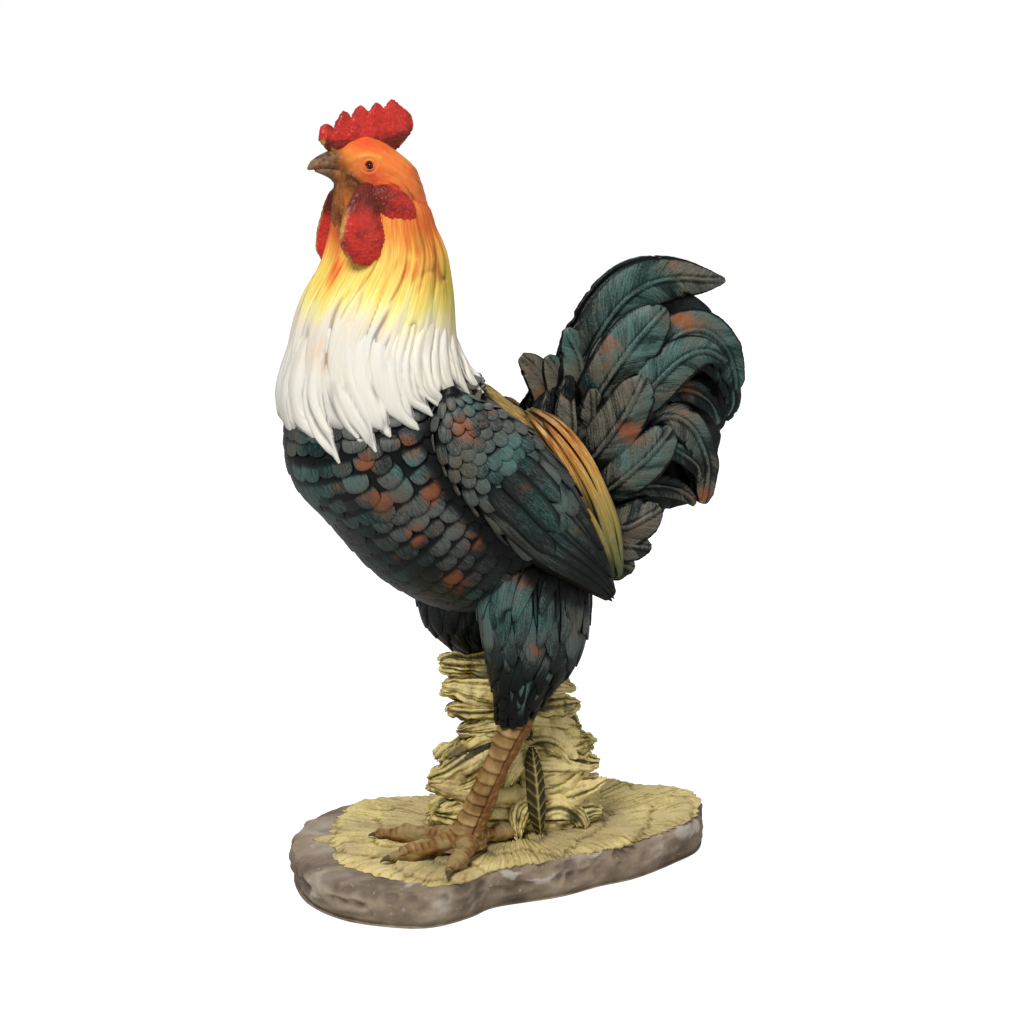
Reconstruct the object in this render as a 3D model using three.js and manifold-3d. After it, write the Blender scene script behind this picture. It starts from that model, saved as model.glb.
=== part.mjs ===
// Concrete rooster statue: a painted cast bird on a stone-like slab, standing over a sheaf of straw.
// Millimetres, +Z up. The bird faces -X and its left side is -Y. The origin is on the slab's flat
// underside, under the bird. Heights are written above the slab's top, or above the hip plane.
import * as THREE from "three";
import { mergeVertices } from "three/addons/utils/BufferGeometryUtils.js";
import Module from "manifold-3d";

// Driving dimensions
const slab = { length: 334, width: 212, thickness: 27, edgeRound: 6, undercut: 9, centre: [5, 4] };
const strawBed = { thickness: 5, inset: 12 };
const stance = { hipHeight: 173, legSpacing: 74, stride: 56 };
const body = { width: 144 };
const neckStub = { width: 78 };
const shank = { depth: 27, width: 20, tenon: 16, flare: 4 };
const toe = { flatness: 0.9 };
const sheaf = { depth: 54, belowHip: 42, sunk: 2, side: 4, lowerShare: 0.33, middleShare: 0.59 };
const comb = { thickness: 11, tenon: 6, bevel: 2 };
const eye = { diameter: 7, sunk: 1.6, forward: 107, side: 24.5, aboveHip: 321.5 };
const rod = { diameter: 8, cover: 6 };
const tailPlate = { thickness: 15, bevel: 3 };
const feather = { thickness: 6.4, bedded: 1 };
const jointGap = 0.3;

// Fineness of the facets
const sides = { torso: 20, head: 14, limb: 10, wing: 10, toe: 6, feather: 8, rod: 6 };

// Paint colours of the finished statue
const paint = {
  rock: ["#8d7c74", 0.9],
  straw: ["#b7a35a", 0.85],
  leaf: ["#6f6a35", 0.85],
  steel: ["#74706b", 0.5, 0.8],
  shank: ["#9a6a4a", 0.7],
  dark: ["#2f3a3a", 0.65],
  gold: ["#b98532", 0.65],
  hackle: ["#e3c98a", 0.7],
  face: ["#d9722c", 0.7],
  comb: ["#a8242a", 0.6],
  bead: ["#120d0b", 0.2],
};

const wasm = await Module();
wasm.setup();

// Solids from geometry

// A closed geometry as a solid, turned face out if its skin was wound the other way.
function solidFrom(geometry) {
  geometry.deleteAttribute("normal");
  geometry.deleteAttribute("uv");
  const merged = mergeVertices(geometry, 1e-3);
  const vertProperties = new Float32Array(merged.attributes.position.array);
  const triVerts = new Uint32Array(merged.index.array);
  const made = new wasm.Manifold(new wasm.Mesh({ numProp: 3, vertProperties, triVerts }));
  if (made.volume() > 0) return made;
  for (let i = 0; i < triVerts.length; i += 3) {
    const second = triVerts[i + 1];
    triVerts[i + 1] = triVerts[i + 2];
    triVerts[i + 2] = second;
  }
  return new wasm.Manifold(new wasm.Mesh({ numProp: 3, vertProperties, triVerts }));
}

// A skin over rings that hold as many points each, closed by a flat cap at both ends.
function skin(rings) {
  const around = rings[0].length;
  const points = rings.flat();
  const faces = [];
  for (let r = 0; r + 1 < rings.length; r++) {
    for (let i = 0; i < around; i++) {
      const here = r * around + i;
      const next = r * around + ((i + 1) % around);
      faces.push(here, next, next + around, here, next + around, here + around);
    }
  }
  const lastRing = (rings.length - 1) * around;
  for (let i = 1; i + 1 < around; i++) {
    faces.push(0, i + 1, i);
    faces.push(lastRing, lastRing + i, lastRing + i + 1);
  }
  const geometry = new THREE.BufferGeometry().setFromPoints(points);
  geometry.setIndex(faces);
  return solidFrom(geometry);
}

// Rows of numbers made smooth: Catmull-Rom through the given rows, column by column.
function smooth(rows, steps) {
  const row = (i) => rows[Math.min(Math.max(i, 0), rows.length - 1)];
  const out = [];
  for (let i = 0; i + 1 < rows.length; i++) {
    for (let s = 0; s < steps; s++) out.push(between(row(i - 1), row(i), row(i + 1), row(i + 2), s / steps));
  }
  out.push([...rows[rows.length - 1]]);
  return out;
}

// One row at share t of the span from b to c, with a and d as its outer neighbours.
function between(a, b, c, d, t) {
  return b.map((value, k) => {
    const slopeIn = (c[k] - a[k]) / 2;
    const slopeOut = (d[k] - b[k]) / 2;
    const t2 = t * t;
    const t3 = t2 * t;
    return (2 * t3 - 3 * t2 + 1) * value + (t3 - 2 * t2 + t) * slopeIn
      + (-2 * t3 + 3 * t2) * c[k] + (t3 - t2) * slopeOut;
  });
}

// A body form. Each row is x, y, z, half depth, half width and tilt in degrees: the ring's depth
// lies in the XZ plane, turned up by the tilt, and its width along Y. `grow` thickens it all round.
function form(rows, count, steps, grow) {
  const rings = smooth(rows, steps);
  const last = rings.length - 1;
  const placed = rings.map(([x, y, z, depth, width, tilt], i) => {
    const angle = THREE.MathUtils.degToRad(tilt);
    const along = new THREE.Vector3(Math.cos(angle), 0, Math.sin(angle));
    const end = i === 0 ? -1 : i === last ? 1 : 0;
    const rise = Math.sign(rings[last][2] - rings[0][2]);
    const axis = new THREE.Vector3(-along.z, 0, along.x).multiplyScalar(end * rise * grow);
    const centre = new THREE.Vector3(x, y, z).add(axis);
    return ring(centre, along, new THREE.Vector3(0, 1, 0), depth + grow, width + grow, count);
  });
  return skin(placed);
}

// Points round an ellipse spanned by two directions.
function ring(centre, across, up, halfAcross, halfUp, count) {
  return Array.from({ length: count }, (_, i) => {
    const turn = (2 * Math.PI * i) / count;
    return centre.clone()
      .addScaledVector(across, halfAcross * Math.cos(turn))
      .addScaledVector(up, halfUp * Math.sin(turn));
  });
}

// A flattened form along a path. Each row is x, y, z, half width and half thickness. `facing` is
// the direction that its broad side looks, and the ring lies square to the path.
function strip(rows, facing, count, steps, grow) {
  const line = smooth(rows, steps);
  const last = line.length - 1;
  const spot = (i) => new THREE.Vector3(...line[Math.min(Math.max(i, 0), last)].slice(0, 3));
  const rings = line.map(([, , , halfWidth, halfThickness], i) => {
    const ahead = spot(i + 1).sub(spot(i - 1)).normalize();
    const across = new THREE.Vector3(...facing).cross(ahead).normalize();
    const out = ahead.clone().cross(across);
    const end = i === 0 ? -1 : i === last ? 1 : 0;
    const centre = spot(i).addScaledVector(ahead, end * grow);
    return ring(centre, across, out, halfWidth + grow, halfThickness + grow, count);
  });
  return skin(rings);
}

// A plate of an outline in the XZ plane, `thickness` wide along Y, with bevelled edges.
function plate(outline, thickness, bevel, grow) {
  const shape = new THREE.Shape(outline.map(([x, z]) => new THREE.Vector2(x, z)));
  const geometry = new THREE.ExtrudeGeometry(shape, {
    depth: thickness - 2 * bevel,
    bevelThickness: bevel + grow,
    bevelSize: bevel + grow,
    bevelOffset: -bevel,
    bevelSegments: 1,
  });
  geometry.translate(0, 0, bevel - thickness / 2);
  geometry.rotateX(Math.PI / 2);
  return solidFrom(geometry);
}

// A closed outline of x, y points made smooth and stacked at several heights round a centre.
// Each level is a height, and how far the outline is drawn in there.
function stack(outline, [cx, cy], levels, steps) {
  const count = outline.length;
  const row = (i) => outline[(i + count) % count];
  const loop = outline.flatMap((_, i) => Array.from({ length: steps }, (_unused, s) => (
    between(row(i - 1), row(i), row(i + 1), row(i + 2), s / steps))));
  return skin(levels.map(([z, inset]) => loop.map(([x, y]) => {
    const reach = Math.hypot(x, y);
    const share = (reach - inset) / reach;
    return new THREE.Vector3(cx + x * share, cy + y * share, z);
  })));
}

// The union of several solids.
const joined = (solids) => solids.reduce((whole, each) => whole.add(each));

// A solid less its neighbours, each of which is grown by the joint gap. The largest body is kept,
// so that a sliver on the far side of a neighbour is left out.
function fitted(shape, neighbours) {
  const cut = neighbours.reduce((rest, other) => (
    rest.subtract(other(jointGap).add(other(0)))), shape(0));
  const bodies = cut.decompose();
  return bodies.reduce((best, each) => (each.volume() > best.volume() ? each : best));
}

// The same shape on the other side of the bird.
const mirrored = (rows) => rows.map(([x, y, ...rest]) => [x, -y, ...rest]);

// Heights in the figure
const hip = stance.hipHeight;
const halfBody = body.width / 2;
const legSide = stance.legSpacing / 2;
const aboveHip = (rows) => rows.map(([x, y, z, ...rest]) => [x, y, z + hip, ...rest]);

// Slab and straw bed
const slabOutline = [
  [0.5, 0.066], [0.482, 0.19], [0.413, 0.311], [0.338, 0.415], [0.135, 0.443], [-0.075, 0.472],
  [-0.27, 0.5], [-0.374, 0.425], [-0.443, 0.274], [-0.488, 0.085], [-0.5, -0.137], [-0.458, -0.33],
  [-0.368, -0.462], [-0.293, -0.5], [-0.207, -0.462], [-0.129, -0.4], [0.021, -0.39],
  [0.129, -0.344], [0.225, -0.316], [0.344, -0.226], [0.44, -0.123],
].map(([x, y]) => [x * slab.length, y * slab.width]);

const slabShape = () => stack(slabOutline, slab.centre, [
  [-slab.thickness, slab.undercut],
  [-0.7 * slab.thickness, 0.4 * slab.undercut],
  [-slab.edgeRound, 0],
  [0, slab.edgeRound],
], 1);

const strawBedShape = () => stack(slabOutline, slab.centre, [
  [jointGap, strawBed.inset],
  [strawBed.thickness * 0.6, strawBed.inset],
  [strawBed.thickness, strawBed.inset + strawBed.thickness],
], 1);

// Straw sheaf: three bunches one on another, which carry the belly
const sheafTop = hip - sheaf.belowHip;
const lowerTop = sheaf.lowerShare * sheafTop;
const middleTop = sheaf.middleShare * sheafTop;
const halfSheaf = sheaf.depth / 2;

// A bunch's row is x, share of its height, half length along X, and share of the sheaf's half depth.
const bunch = (rows, from, to) => (grow) => form(
  rows.map(([x, share, halfLength, depthShare]) => (
    [x, sheaf.side, from + share * (to - from), halfLength, halfSheaf * depthShare, 0])),
  sides.limb, 2, grow);

const lowerBunch = bunch([
  [14, 0, 69, 1], [14, 0.35, 66, 0.98], [14, 0.75, 62, 0.9], [14, 1, 50, 0.8],
], strawBed.thickness - sheaf.sunk, lowerTop);
const middleBunch = bunch([
  [14, 0, 54, 0.8], [16, 0.35, 66, 1], [14, 0.7, 58, 0.95], [12, 1, 42, 0.8],
], lowerTop + jointGap, middleTop);
const upperBunch = bunch([
  [12, 0, 44, 0.85], [10, 0.3, 54, 1], [6, 0.7, 50, 0.95], [2, 1, 45, 0.85],
], middleTop + jointGap, sheafTop);

const leafShape = (grow) => strip([
  [20, -24, 8, 5, 3], [19, -26, 28, 8, 3], [18, -25, 52, 8, 3], [18, -23, 70, 4, 2.5],
], [0, -1, 0], sides.toe, 2, grow);

// Legs: steel rods cast through slab, feet and thighs into the body, as they stand in stride
const legRows = (side, stride) => ({
  ankle: [-46 + stride, side, 14],
  middle: [-30 + stride * 0.7, side, 45],
  hock: [-4 + stride * 0.3, side, hip - 79],
  knee: [8, side, hip - 30],
  hip: [16, side, hip + 30],
});
const leftLeg = legRows(-legSide, 0);
const rightLeg = legRows(legSide, stance.stride);

const rodShape = (rows) => (grow) => strip(
  rows.map((place) => [...place, rod.diameter / 2, rod.diameter / 2]), [0, -1, 0], sides.rod, 3, grow);
const legRod = (leg) => rodShape([
  [leg.ankle[0] - 2, leg.ankle[1], rod.cover - slab.thickness],
  leg.ankle, leg.middle, leg.hock, leg.knee, leg.hip,
]);
const leftLegRod = legRod(leftLeg);
const rightLegRod = legRod(rightLeg);

const footShape = (leg) => (grow) => {
  const [x, y, z] = leg.ankle;
  const out = Math.sign(y);
  const halfDepth = shank.depth / 2;
  const halfWidth = shank.width / 2;
  const post = form([
    [x - shank.flare / 2, y, shank.flare, halfDepth + shank.flare, halfWidth + shank.flare, 0],
    [x, y, z, halfDepth + 2, halfWidth + 1, 10],
    [...leg.middle, halfDepth - 1, halfWidth - 1, 20],
    [...leg.hock, halfDepth, halfWidth, 20],
    [leg.hock[0] + 6, leg.hock[1], leg.hock[2] + shank.tenon, halfDepth - 5, halfWidth - 2, 20],
  ], sides.limb, 2, grow);
  // A toe's row is the way forward and outward from the ankle, its height and half width.
  const toeShape = (rows) => strip(
    rows.map(([dx, dy, height, half]) => [x + dx, y + out * dy, height, half, half * toe.flatness]),
    [0, 0, 1], sides.toe, 2, grow);
  return joined([
    post,
    toeShape([[2, 0, 13, 9], [-26, 4, 12, 9], [-50, 5, 9, 8], [-63, 6, 8, 4]]),
    toeShape([[2, 0, 13, 9], [-20, -22, 12, 8.5], [-40, -40, 10, 7.5], [-52, -50, 8, 4]]),
    toeShape([[2, 0, 13, 9], [-8, 24, 12, 8.5], [-24, 42, 9, 7.5], [-32, 53, 8, 4]]),
    toeShape([[-2, 0, 13, 9], [22, -6, 12, 8], [42, -12, 10, 7], [54, -15, 8, 4]]),
  ]);
};
const leftFoot = footShape(leftLeg);
const rightFoot = footShape(rightLeg);

// A thigh's row is x, height above the hip plane, half depth, half width and tilt.
const thighShape = (side, rows) => (grow) => form(
  aboveHip(rows.map(([x, z, ...rest]) => [x, side, z, ...rest])), sides.limb + 4, 2, grow);
const leftThigh = thighShape(-legSide, [
  [-5, -75, 14, 12, 18], [0, -62, 19, 15, 14], [7, -44, 29, 21, 8], [10, -22, 36, 26, 4],
  [9, 10, 41, 28, 0], [10, 42, 38, 24, 0],
]);
const rightThigh = thighShape(legSide, [
  [12, -75, 14, 12, 18], [11, -60, 18, 15, 14], [7, -48, 22, 19, 8], [3, -38, 27, 22, 4],
  [-5, -27, 33, 25, 2], [-10, -15, 37, 27, 0], [-12, 10, 40, 28, 0], [-12, 42, 38, 24, 0],
]);

// Torso: one solid casting, from the vent up to the stub that carries the neck
const halfNeck = neckStub.width / 2;
const torsoRows = aboveHip([
  [66, 0, 36, 10, 10, 62],
  [54, 0, 41, 29, 0.39 * halfBody, 62],
  [28.5, 0, 49.5, 53, 0.67 * halfBody, 62],
  [-8, 0, 65, 73, 0.89 * halfBody, 62],
  [-47.5, 0, 89, 77, 0.99 * halfBody, 57],
  [-75.5, 0, 119, 74, halfBody, 41],
  [-88, 0, 134, 75.5, 0.98 * halfBody, 28],
  [-93, 0, 151, 71, 0.94 * halfBody, 17],
  [-97, 0, 185, 54, 1.3 * halfNeck, 4],
  [-94, 0, 215, 40, halfNeck, 0],
  [-93, 0, 232, 37, 0.95 * halfNeck, 0],
]);
const torsoShape = (grow) => form(torsoRows, sides.torso, 2, grow);

// Neck and head
const neckRows = aboveHip([
  [-98, 0, 152, 67, 0.95 * halfBody, 15],
  [-98, 0, 172, 63, 0.9 * halfBody, 12],
  [-98.5, 0, 198, 58.5, 1.5 * halfNeck, 6],
  [-94.5, 0, 230, 52.5, 1.3 * halfNeck, 2],
  [-89, 0, 256, 43, 1.08 * halfNeck, 0],
  [-90, 0, 276, 37, 0.93 * halfNeck, 0],
  [-92, 0, 298, 32, 0.8 * halfNeck, 0],
]);
const hackleShape = (grow) => form(neckRows, sides.torso, 2, grow);

const headRows = aboveHip([
  [-91.5, 0, 296, 32, 29, 0],
  [-93.5, 0, 310, 30, 27, 0],
  [-96.5, 0, 321, 27, 25, 0],
  [-101, 0, 330, 20.5, 20, 0],
  [-103, 0, 336, 12, 13, 0],
  [-103, 0, 339, 5, 5, 0],
]);
const beakRows = aboveHip([
  [-104, 0, 317, 14, 14],
  [-116, 0, 318.5, 12, 11.5],
  [-128, 0, 320.5, 8, 7.5],
  [-136, 0, 320.5, 4.2, 4.5],
  [-141, 0, 320, 1.6, 2],
]);
const headShape = (grow) => joined([
  form(headRows, sides.head, 2, grow),
  strip(beakRows, [0, 1, 0], sides.limb, 2, grow),
]);
const neckRod = rodShape([[-95, 0, hip + 185], [-91, 0, hip + 256], [-93, 0, hip + 322]]);

const combOutline = [
  [-128, 330], [-133, 336], [-135, 340], [-133, 346], [-128.6, 348], [-124.5, 346.5],
  [-121.5, 349], [-118, 356.5], [-111.5, 353], [-106, 360.5], [-99.7, 356.7], [-94, 362],
  [-88.5, 358], [-82, 364.3], [-75.5, 358.5], [-69.5, 355], [-67, 345], [-73, 339], [-76, 336],
  [-78, 334 - comb.tenon], [-90, 334 - comb.tenon], [-105, 334 - comb.tenon], [-118, 332 - comb.tenon],
].map(([x, z]) => [x, z + hip]);
const combShape = (grow) => plate(combOutline, comb.thickness, comb.bevel, grow);

const eyeShape = (side) => (grow) => {
  const geometry = new THREE.SphereGeometry(eye.diameter / 2 + grow, 10, 6);
  geometry.translate(-eye.forward, side * (eye.side - eye.sunk), hip + eye.aboveHip);
  return solidFrom(geometry);
};
const leftEye = eyeShape(-1);
const rightEye = eyeShape(1);

const wattleShape = (rows, side) => (grow) => strip(
  aboveHip(rows), [0.3, side, 0], sides.wing, 2, grow);
const leftWattle = wattleShape([
  [-108, -22, 306, 7, 5], [-112, -27, 292, 15, 6], [-114, -31, 275, 20.5, 7],
  [-114, -33, 264, 17.5, 6.5], [-114, -33, 257, 8, 4],
], -1);
const rightWattle = wattleShape([
  [-107, 22, 305, 6, 5], [-110, 27, 290, 13, 6], [-111, 30, 270, 15.5, 7],
  [-116, 31, 254, 13, 6], [-118, 31, 247, 6, 4],
], 1);

const earlobeRows = aboveHip([
  [-105, -25, 302, 6, 5], [-97, -28, 296, 12.5, 5.5], [-88, -29, 290, 11.5, 5.5], [-79, -28, 283, 4, 4],
]);
const earlobeShape = (rows, side) => (grow) => strip(rows, [0, side, 0], sides.toe, 2, grow);
const leftEarlobe = earlobeShape(earlobeRows, -1);
const rightEarlobe = earlobeShape(mirrored(earlobeRows), 1);

// Wings and saddle feathers lie on the torso's flanks
const wingRows = aboveHip([
  [-66, -0.86 * halfBody, 172, 6, 8],
  [-59, -0.97 * halfBody, 148, 23, 12],
  [-40, -1.04 * halfBody, 124, 31, 14],
  [-12, -1.04 * halfBody, 94, 32, 14],
  [15, -0.94 * halfBody, 62, 27, 13],
  [40, -0.86 * halfBody, 36, 17, 10],
  [61, -0.79 * halfBody, 12, 3, 4],
]);
const leftWing = (grow) => strip(wingRows, [0, -1, 0], sides.wing + 2, 2, grow);
const rightWing = (grow) => strip(mirrored(wingRows), [0, 1, 0], sides.wing + 2, 2, grow);

const saddleRows = aboveHip([
  [4, -0.36 * halfBody, 147, 7, 6],
  [21, -0.54 * halfBody, 133, 12, 9],
  [38, -0.68 * halfBody, 112, 15, 10],
  [50, -0.72 * halfBody, 89, 15, 10],
  [61, -0.7 * halfBody, 60, 12, 9],
  [68, -0.64 * halfBody, 36, 6, 6],
  [69, -0.62 * halfBody, 28, 2.5, 3],
]);
const leftSaddle = (grow) => strip(saddleRows, [0.25, -1, 0.45], sides.wing, 2, grow);
const rightSaddle = (grow) => strip(mirrored(saddleRows), [0.25, 1, 0.45], sides.wing, 2, grow);

// Tail: a plate of main feathers on a rod, with sickle feathers and coverts on both sides
const tailOutline = [
  [10, 128], [30, 142], [46, 150], [60, 178], [82, 208], [112, 222], [140, 222], [164, 206],
  [178, 182], [184, 160], [183, 135], [177, 122], [172, 108], [170, 92], [165, 72], [150, 64],
  [128, 58], [108, 42], [90, 28], [62, 30], [40, 60],
].map(([x, z]) => [x, z + hip]);
const tailPlateShape = (grow) => plate(tailOutline, tailPlate.thickness, tailPlate.bevel, grow);
const tailRootRows = aboveHip([
  [34, 0, 99, 36, 22], [52, 0, 108, 49, 29], [76, 0, 118, 46, 25], [98, 0, 128, 28, 14],
  [114, 0, 134, 10, 8],
]);
const tailRootShape = (grow) => strip(tailRootRows, [0, -1, 0], sides.limb + 4, 2, grow);
const tailRod = rodShape([[-20, 0, hip + 96], [30, 0, hip + 116], [96, 0, hip + 142]]);

// A feather's row is x, y, z above the hip plane, half width and half thickness.
const plume = (rows, facing) => (grow) => strip(aboveHip(rows), facing, sides.feather, 2, grow);

// A left and a right feather. The rows place the outer face, and the casting behind it is solid
// down to the tail plate.
const halfFeather = feather.thickness / 2;
const innerFace = tailPlate.thickness / 2 - feather.bedded;
function pair(rows, facing) {
  const deep = rows.map(([x, y, z, halfWidth]) => {
    const outerFace = -y + halfFeather;
    return [x, -(outerFace + innerFace) / 2, z, halfWidth, (outerFace - innerFace) / 2];
  });
  return [plume(deep, facing), plume(mirrored(deep), [facing[0], -facing[1], facing[2]])];
}

const topSickle = pair([
  [44, -6, 138, 8], [62, -8, 182, 12], [82, -10, 213, 13], [104, -11, 231, 12.5],
  [130, -11, 235, 10.5], [152, -10, 233, 6.5], [169, -8, 230, 2],
], [0.1, -1, 0.15]);
const secondSickle = pair([
  [46, -14, 122, 8], [72, -32, 177, 13], [90, -37, 202, 14], [106, -38, 213, 7],
], [-0.1, -1, 0.25]);
const archSickle = pair([
  [50, -12, 114, 8], [92, -28, 164, 10], [119, -33, 192, 12], [143, -32, 197, 12],
  [164, -27, 182, 10.5], [175, -22, 160, 4],
], [0, -1, 0.2]);
const innerSickle = pair([
  [54, -14, 106, 8], [92, -36, 154, 10], [118, -42, 178, 10], [138, -41, 184, 7],
  [154, -35, 176, 2.5],
], [0, -1, 0.2]);
const quillCovert = pair([
  [48, -16, 92, 8], [70, -42, 134, 13], [86, -49, 166, 10],
], [-0.2, -1, 0.2]);
const sideCovert = pair([
  [58, -16, 74, 7], [86, -46, 104, 10], [106, -51, 130, 7],
], [-0.1, -1, 0.2]);
const lowerSickle = pair([
  [60, -14, 82, 8], [92, -28, 118, 9], [112, -36, 137, 10], [132, -37, 126, 10],
  [147, -33, 98, 8], [147, -28, 74, 4],
], [0, -1, 0.2]);
const lowCovert = pair([
  [54, -14, 50, 8], [84, -40, 60, 10], [100, -44, 72, 6],
], [0, -1, 0.1]);
const ventCovert = pair([
  [54, -14, 36, 7], [70, -32, 33, 9], [81, -36, 31, 4],
], [0, -1, 0]);
const frontFeather = (rows) => plume(rows.map((row) => [...row, halfFeather]), [0, -1, 0.1]);
const frontFeathers = [
  frontFeather([[24, 10, 118, 9], [33, 12, 146, 8], [26, 13, 165, 7], [18, 14, 178, 2.5]]),
  frontFeather([[30, 3, 118, 9], [42, 2, 148, 8], [38, 3, 166, 6.5], [33, 4, 178, 2.5]]),
  frontFeather([[36, -4, 118, 9], [56, -8, 152, 9], [54, -9, 182, 8], [44, -8, 200, 2.5]]),
];

// Outer feathers of one side in the order that they lie on each other.
const tailFeathers = {
  top_sickle: topSickle,
  second_sickle: secondSickle,
  arch_sickle: archSickle,
  inner_sickle: innerSickle,
  lower_sickle: lowerSickle,
  quill_covert: quillCovert,
  side_covert: sideCovert,
  low_covert: lowCovert,
  vent_covert: ventCovert,
};

// Putting the statue together
const statue = new THREE.Group();
statue.position.z = slab.thickness;

function add(name, [color, roughness, metalness = 0], shape, neighbours = []) {
  const { numProp, vertProperties, triVerts } = fitted(shape, neighbours).getMesh();
  const geometry = new THREE.BufferGeometry();
  const points = Array.from({ length: vertProperties.length / numProp }, (_, i) => (
    new THREE.Vector3(...vertProperties.slice(i * numProp, i * numProp + 3))));
  geometry.setFromPoints(points);
  geometry.setIndex([...triVerts]);
  geometry.computeVertexNormals();
  const mesh = new THREE.Mesh(geometry, new THREE.MeshStandardMaterial({ color, roughness, metalness }));
  mesh.name = name;
  statue.add(mesh);
}

const legRods = [leftLegRod, rightLegRod];
add("left_leg_rod", paint.steel, leftLegRod);
add("right_leg_rod", paint.steel, rightLegRod);
add("neck_rod", paint.steel, neckRod);
add("tail_rod", paint.steel, tailRod);

add("base_slab", paint.rock, slabShape, legRods);
add("straw_bed", paint.straw, strawBedShape, [leftFoot, rightFoot, lowerBunch, leafShape, ...legRods]);
add("left_foot", paint.shank, leftFoot, [leftLegRod]);
add("right_foot", paint.shank, rightFoot, [rightLegRod]);

const legs = [leftFoot, rightFoot];
const thighs = [leftThigh, rightThigh];
add("sheaf_leaf", paint.leaf, leafShape, [...legs, lowerBunch, middleBunch]);
add("sheaf_lower", paint.straw, lowerBunch, legs);
add("sheaf_middle", paint.straw, middleBunch, legs);
add("sheaf_upper", paint.straw, upperBunch, [...legs, ...thighs, torsoShape]);

add("torso", paint.dark, torsoShape, [...legRods, neckRod, tailRod]);
add("left_thigh", paint.dark, leftThigh, [torsoShape, leftFoot, leftLegRod]);
add("right_thigh", paint.dark, rightThigh, [torsoShape, rightFoot, rightLegRod]);
add("neck_hackle", paint.hackle, hackleShape, [torsoShape, neckRod]);
add("head", paint.face, headShape, [hackleShape, neckRod, combShape, leftEye, rightEye]);
add("comb", paint.comb, combShape);
add("left_eye", paint.bead, leftEye);
add("right_eye", paint.bead, rightEye);
add("left_wattle", paint.comb, leftWattle, [headShape, hackleShape]);
add("right_wattle", paint.comb, rightWattle, [headShape, hackleShape]);
add("left_earlobe", paint.comb, leftEarlobe, [headShape, hackleShape, leftWattle]);
add("right_earlobe", paint.comb, rightEarlobe, [headShape, hackleShape, rightWattle]);

add("left_wing", paint.dark, leftWing, [torsoShape, hackleShape, leftThigh]);
add("right_wing", paint.dark, rightWing, [torsoShape, hackleShape, rightThigh]);
add("left_saddle_feathers", paint.gold, leftSaddle, [torsoShape, leftWing, hackleShape]);
add("right_saddle_feathers", paint.gold, rightSaddle, [torsoShape, rightWing, hackleShape]);

const tailSeat = [torsoShape, leftSaddle, rightSaddle];
add("tail_root", paint.dark, tailRootShape, [...tailSeat, tailRod]);
tailSeat.push(tailRootShape);
add("tail_main_feathers", paint.dark, tailPlateShape, [...tailSeat, tailRod]);
tailSeat.push(tailPlateShape);
frontFeathers.forEach((shape, i) => {
  add(`tail_front_feather_${i + 1}`, paint.dark, shape, tailSeat);
  tailSeat.push(shape);
});
["left", "right"].forEach((name, index) => {
  const seat = [...tailSeat];
  Object.entries(tailFeathers).forEach(([feathers, shapes]) => {
    add(`tail_${name}_${feathers}`, paint.dark, shapes[index], seat);
    seat.push(shapes[index]);
  });
});

export default statue;
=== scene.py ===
import bpy
import numpy as np
from mathutils import Matrix


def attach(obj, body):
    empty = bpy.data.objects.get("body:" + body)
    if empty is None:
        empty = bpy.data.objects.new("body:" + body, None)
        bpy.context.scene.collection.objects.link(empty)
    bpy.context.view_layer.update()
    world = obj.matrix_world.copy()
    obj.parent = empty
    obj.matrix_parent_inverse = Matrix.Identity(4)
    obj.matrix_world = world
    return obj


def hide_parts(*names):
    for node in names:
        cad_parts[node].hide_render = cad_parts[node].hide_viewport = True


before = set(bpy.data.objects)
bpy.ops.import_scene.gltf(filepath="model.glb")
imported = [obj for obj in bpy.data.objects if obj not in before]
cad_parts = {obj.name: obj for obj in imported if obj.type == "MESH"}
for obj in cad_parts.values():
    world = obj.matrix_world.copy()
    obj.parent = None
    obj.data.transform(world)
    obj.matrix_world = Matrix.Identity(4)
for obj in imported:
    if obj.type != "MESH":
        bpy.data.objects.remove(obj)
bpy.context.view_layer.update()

# Camera, light and floor.
# The photograph looks at the bird's left side from 22 degrees ahead of it and 12 degrees above it,
# against plain white, in soft light that comes mostly from above and from the camera's left.

view_turn, view_rise = np.radians(-22.0), np.radians(12.0)
to_camera = np.array(
    [np.sin(view_turn) * np.cos(view_rise), -np.cos(view_turn) * np.cos(view_rise), np.sin(view_rise)])
to_right = np.array([np.cos(view_turn), np.sin(view_turn), 0.0])
to_top = np.cross(to_camera, to_right)
aim = np.array([-0.010, -0.041, 0.277])
camera_distance = 1.9
bird_middle = np.array([0.0, 0.0, 0.28])
ambient_level = 0.29

scene = bpy.context.scene
scene.view_settings.view_transform = "Standard"
lens = bpy.data.cameras.new("photo_camera")
lens.sensor_width = 36.0
lens.lens = 94.82
camera = bpy.data.objects.new("photo_camera", lens)
axes = np.stack([to_right, to_top, to_camera], 1)
camera.matrix_world = Matrix.Translation(aim + to_camera * camera_distance) @ Matrix(axes.tolist()).to_4x4()
scene.collection.objects.link(camera)
scene.camera = camera


def unit(vectors):
    """Vectors brought to length 1."""
    return vectors / np.maximum(np.linalg.norm(vectors, axis=-1, keepdims=True), 1e-9)


def softbox(name, place, size, power):
    """A square area lamp at a place in metres, turned to look at the middle of the bird."""
    lamp = bpy.data.lights.new(name, "AREA")
    lamp.size = size
    lamp.energy = power
    stand = bpy.data.objects.new(name, lamp)
    away = unit(np.array(place) - bird_middle)
    side = unit(np.cross((0, 0, 1), away))
    turned = np.stack([side, np.cross(away, side), away], 1)
    stand.matrix_world = Matrix.Translation(place) @ Matrix(turned.tolist()).to_4x4()
    scene.collection.objects.link(stand)


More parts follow.
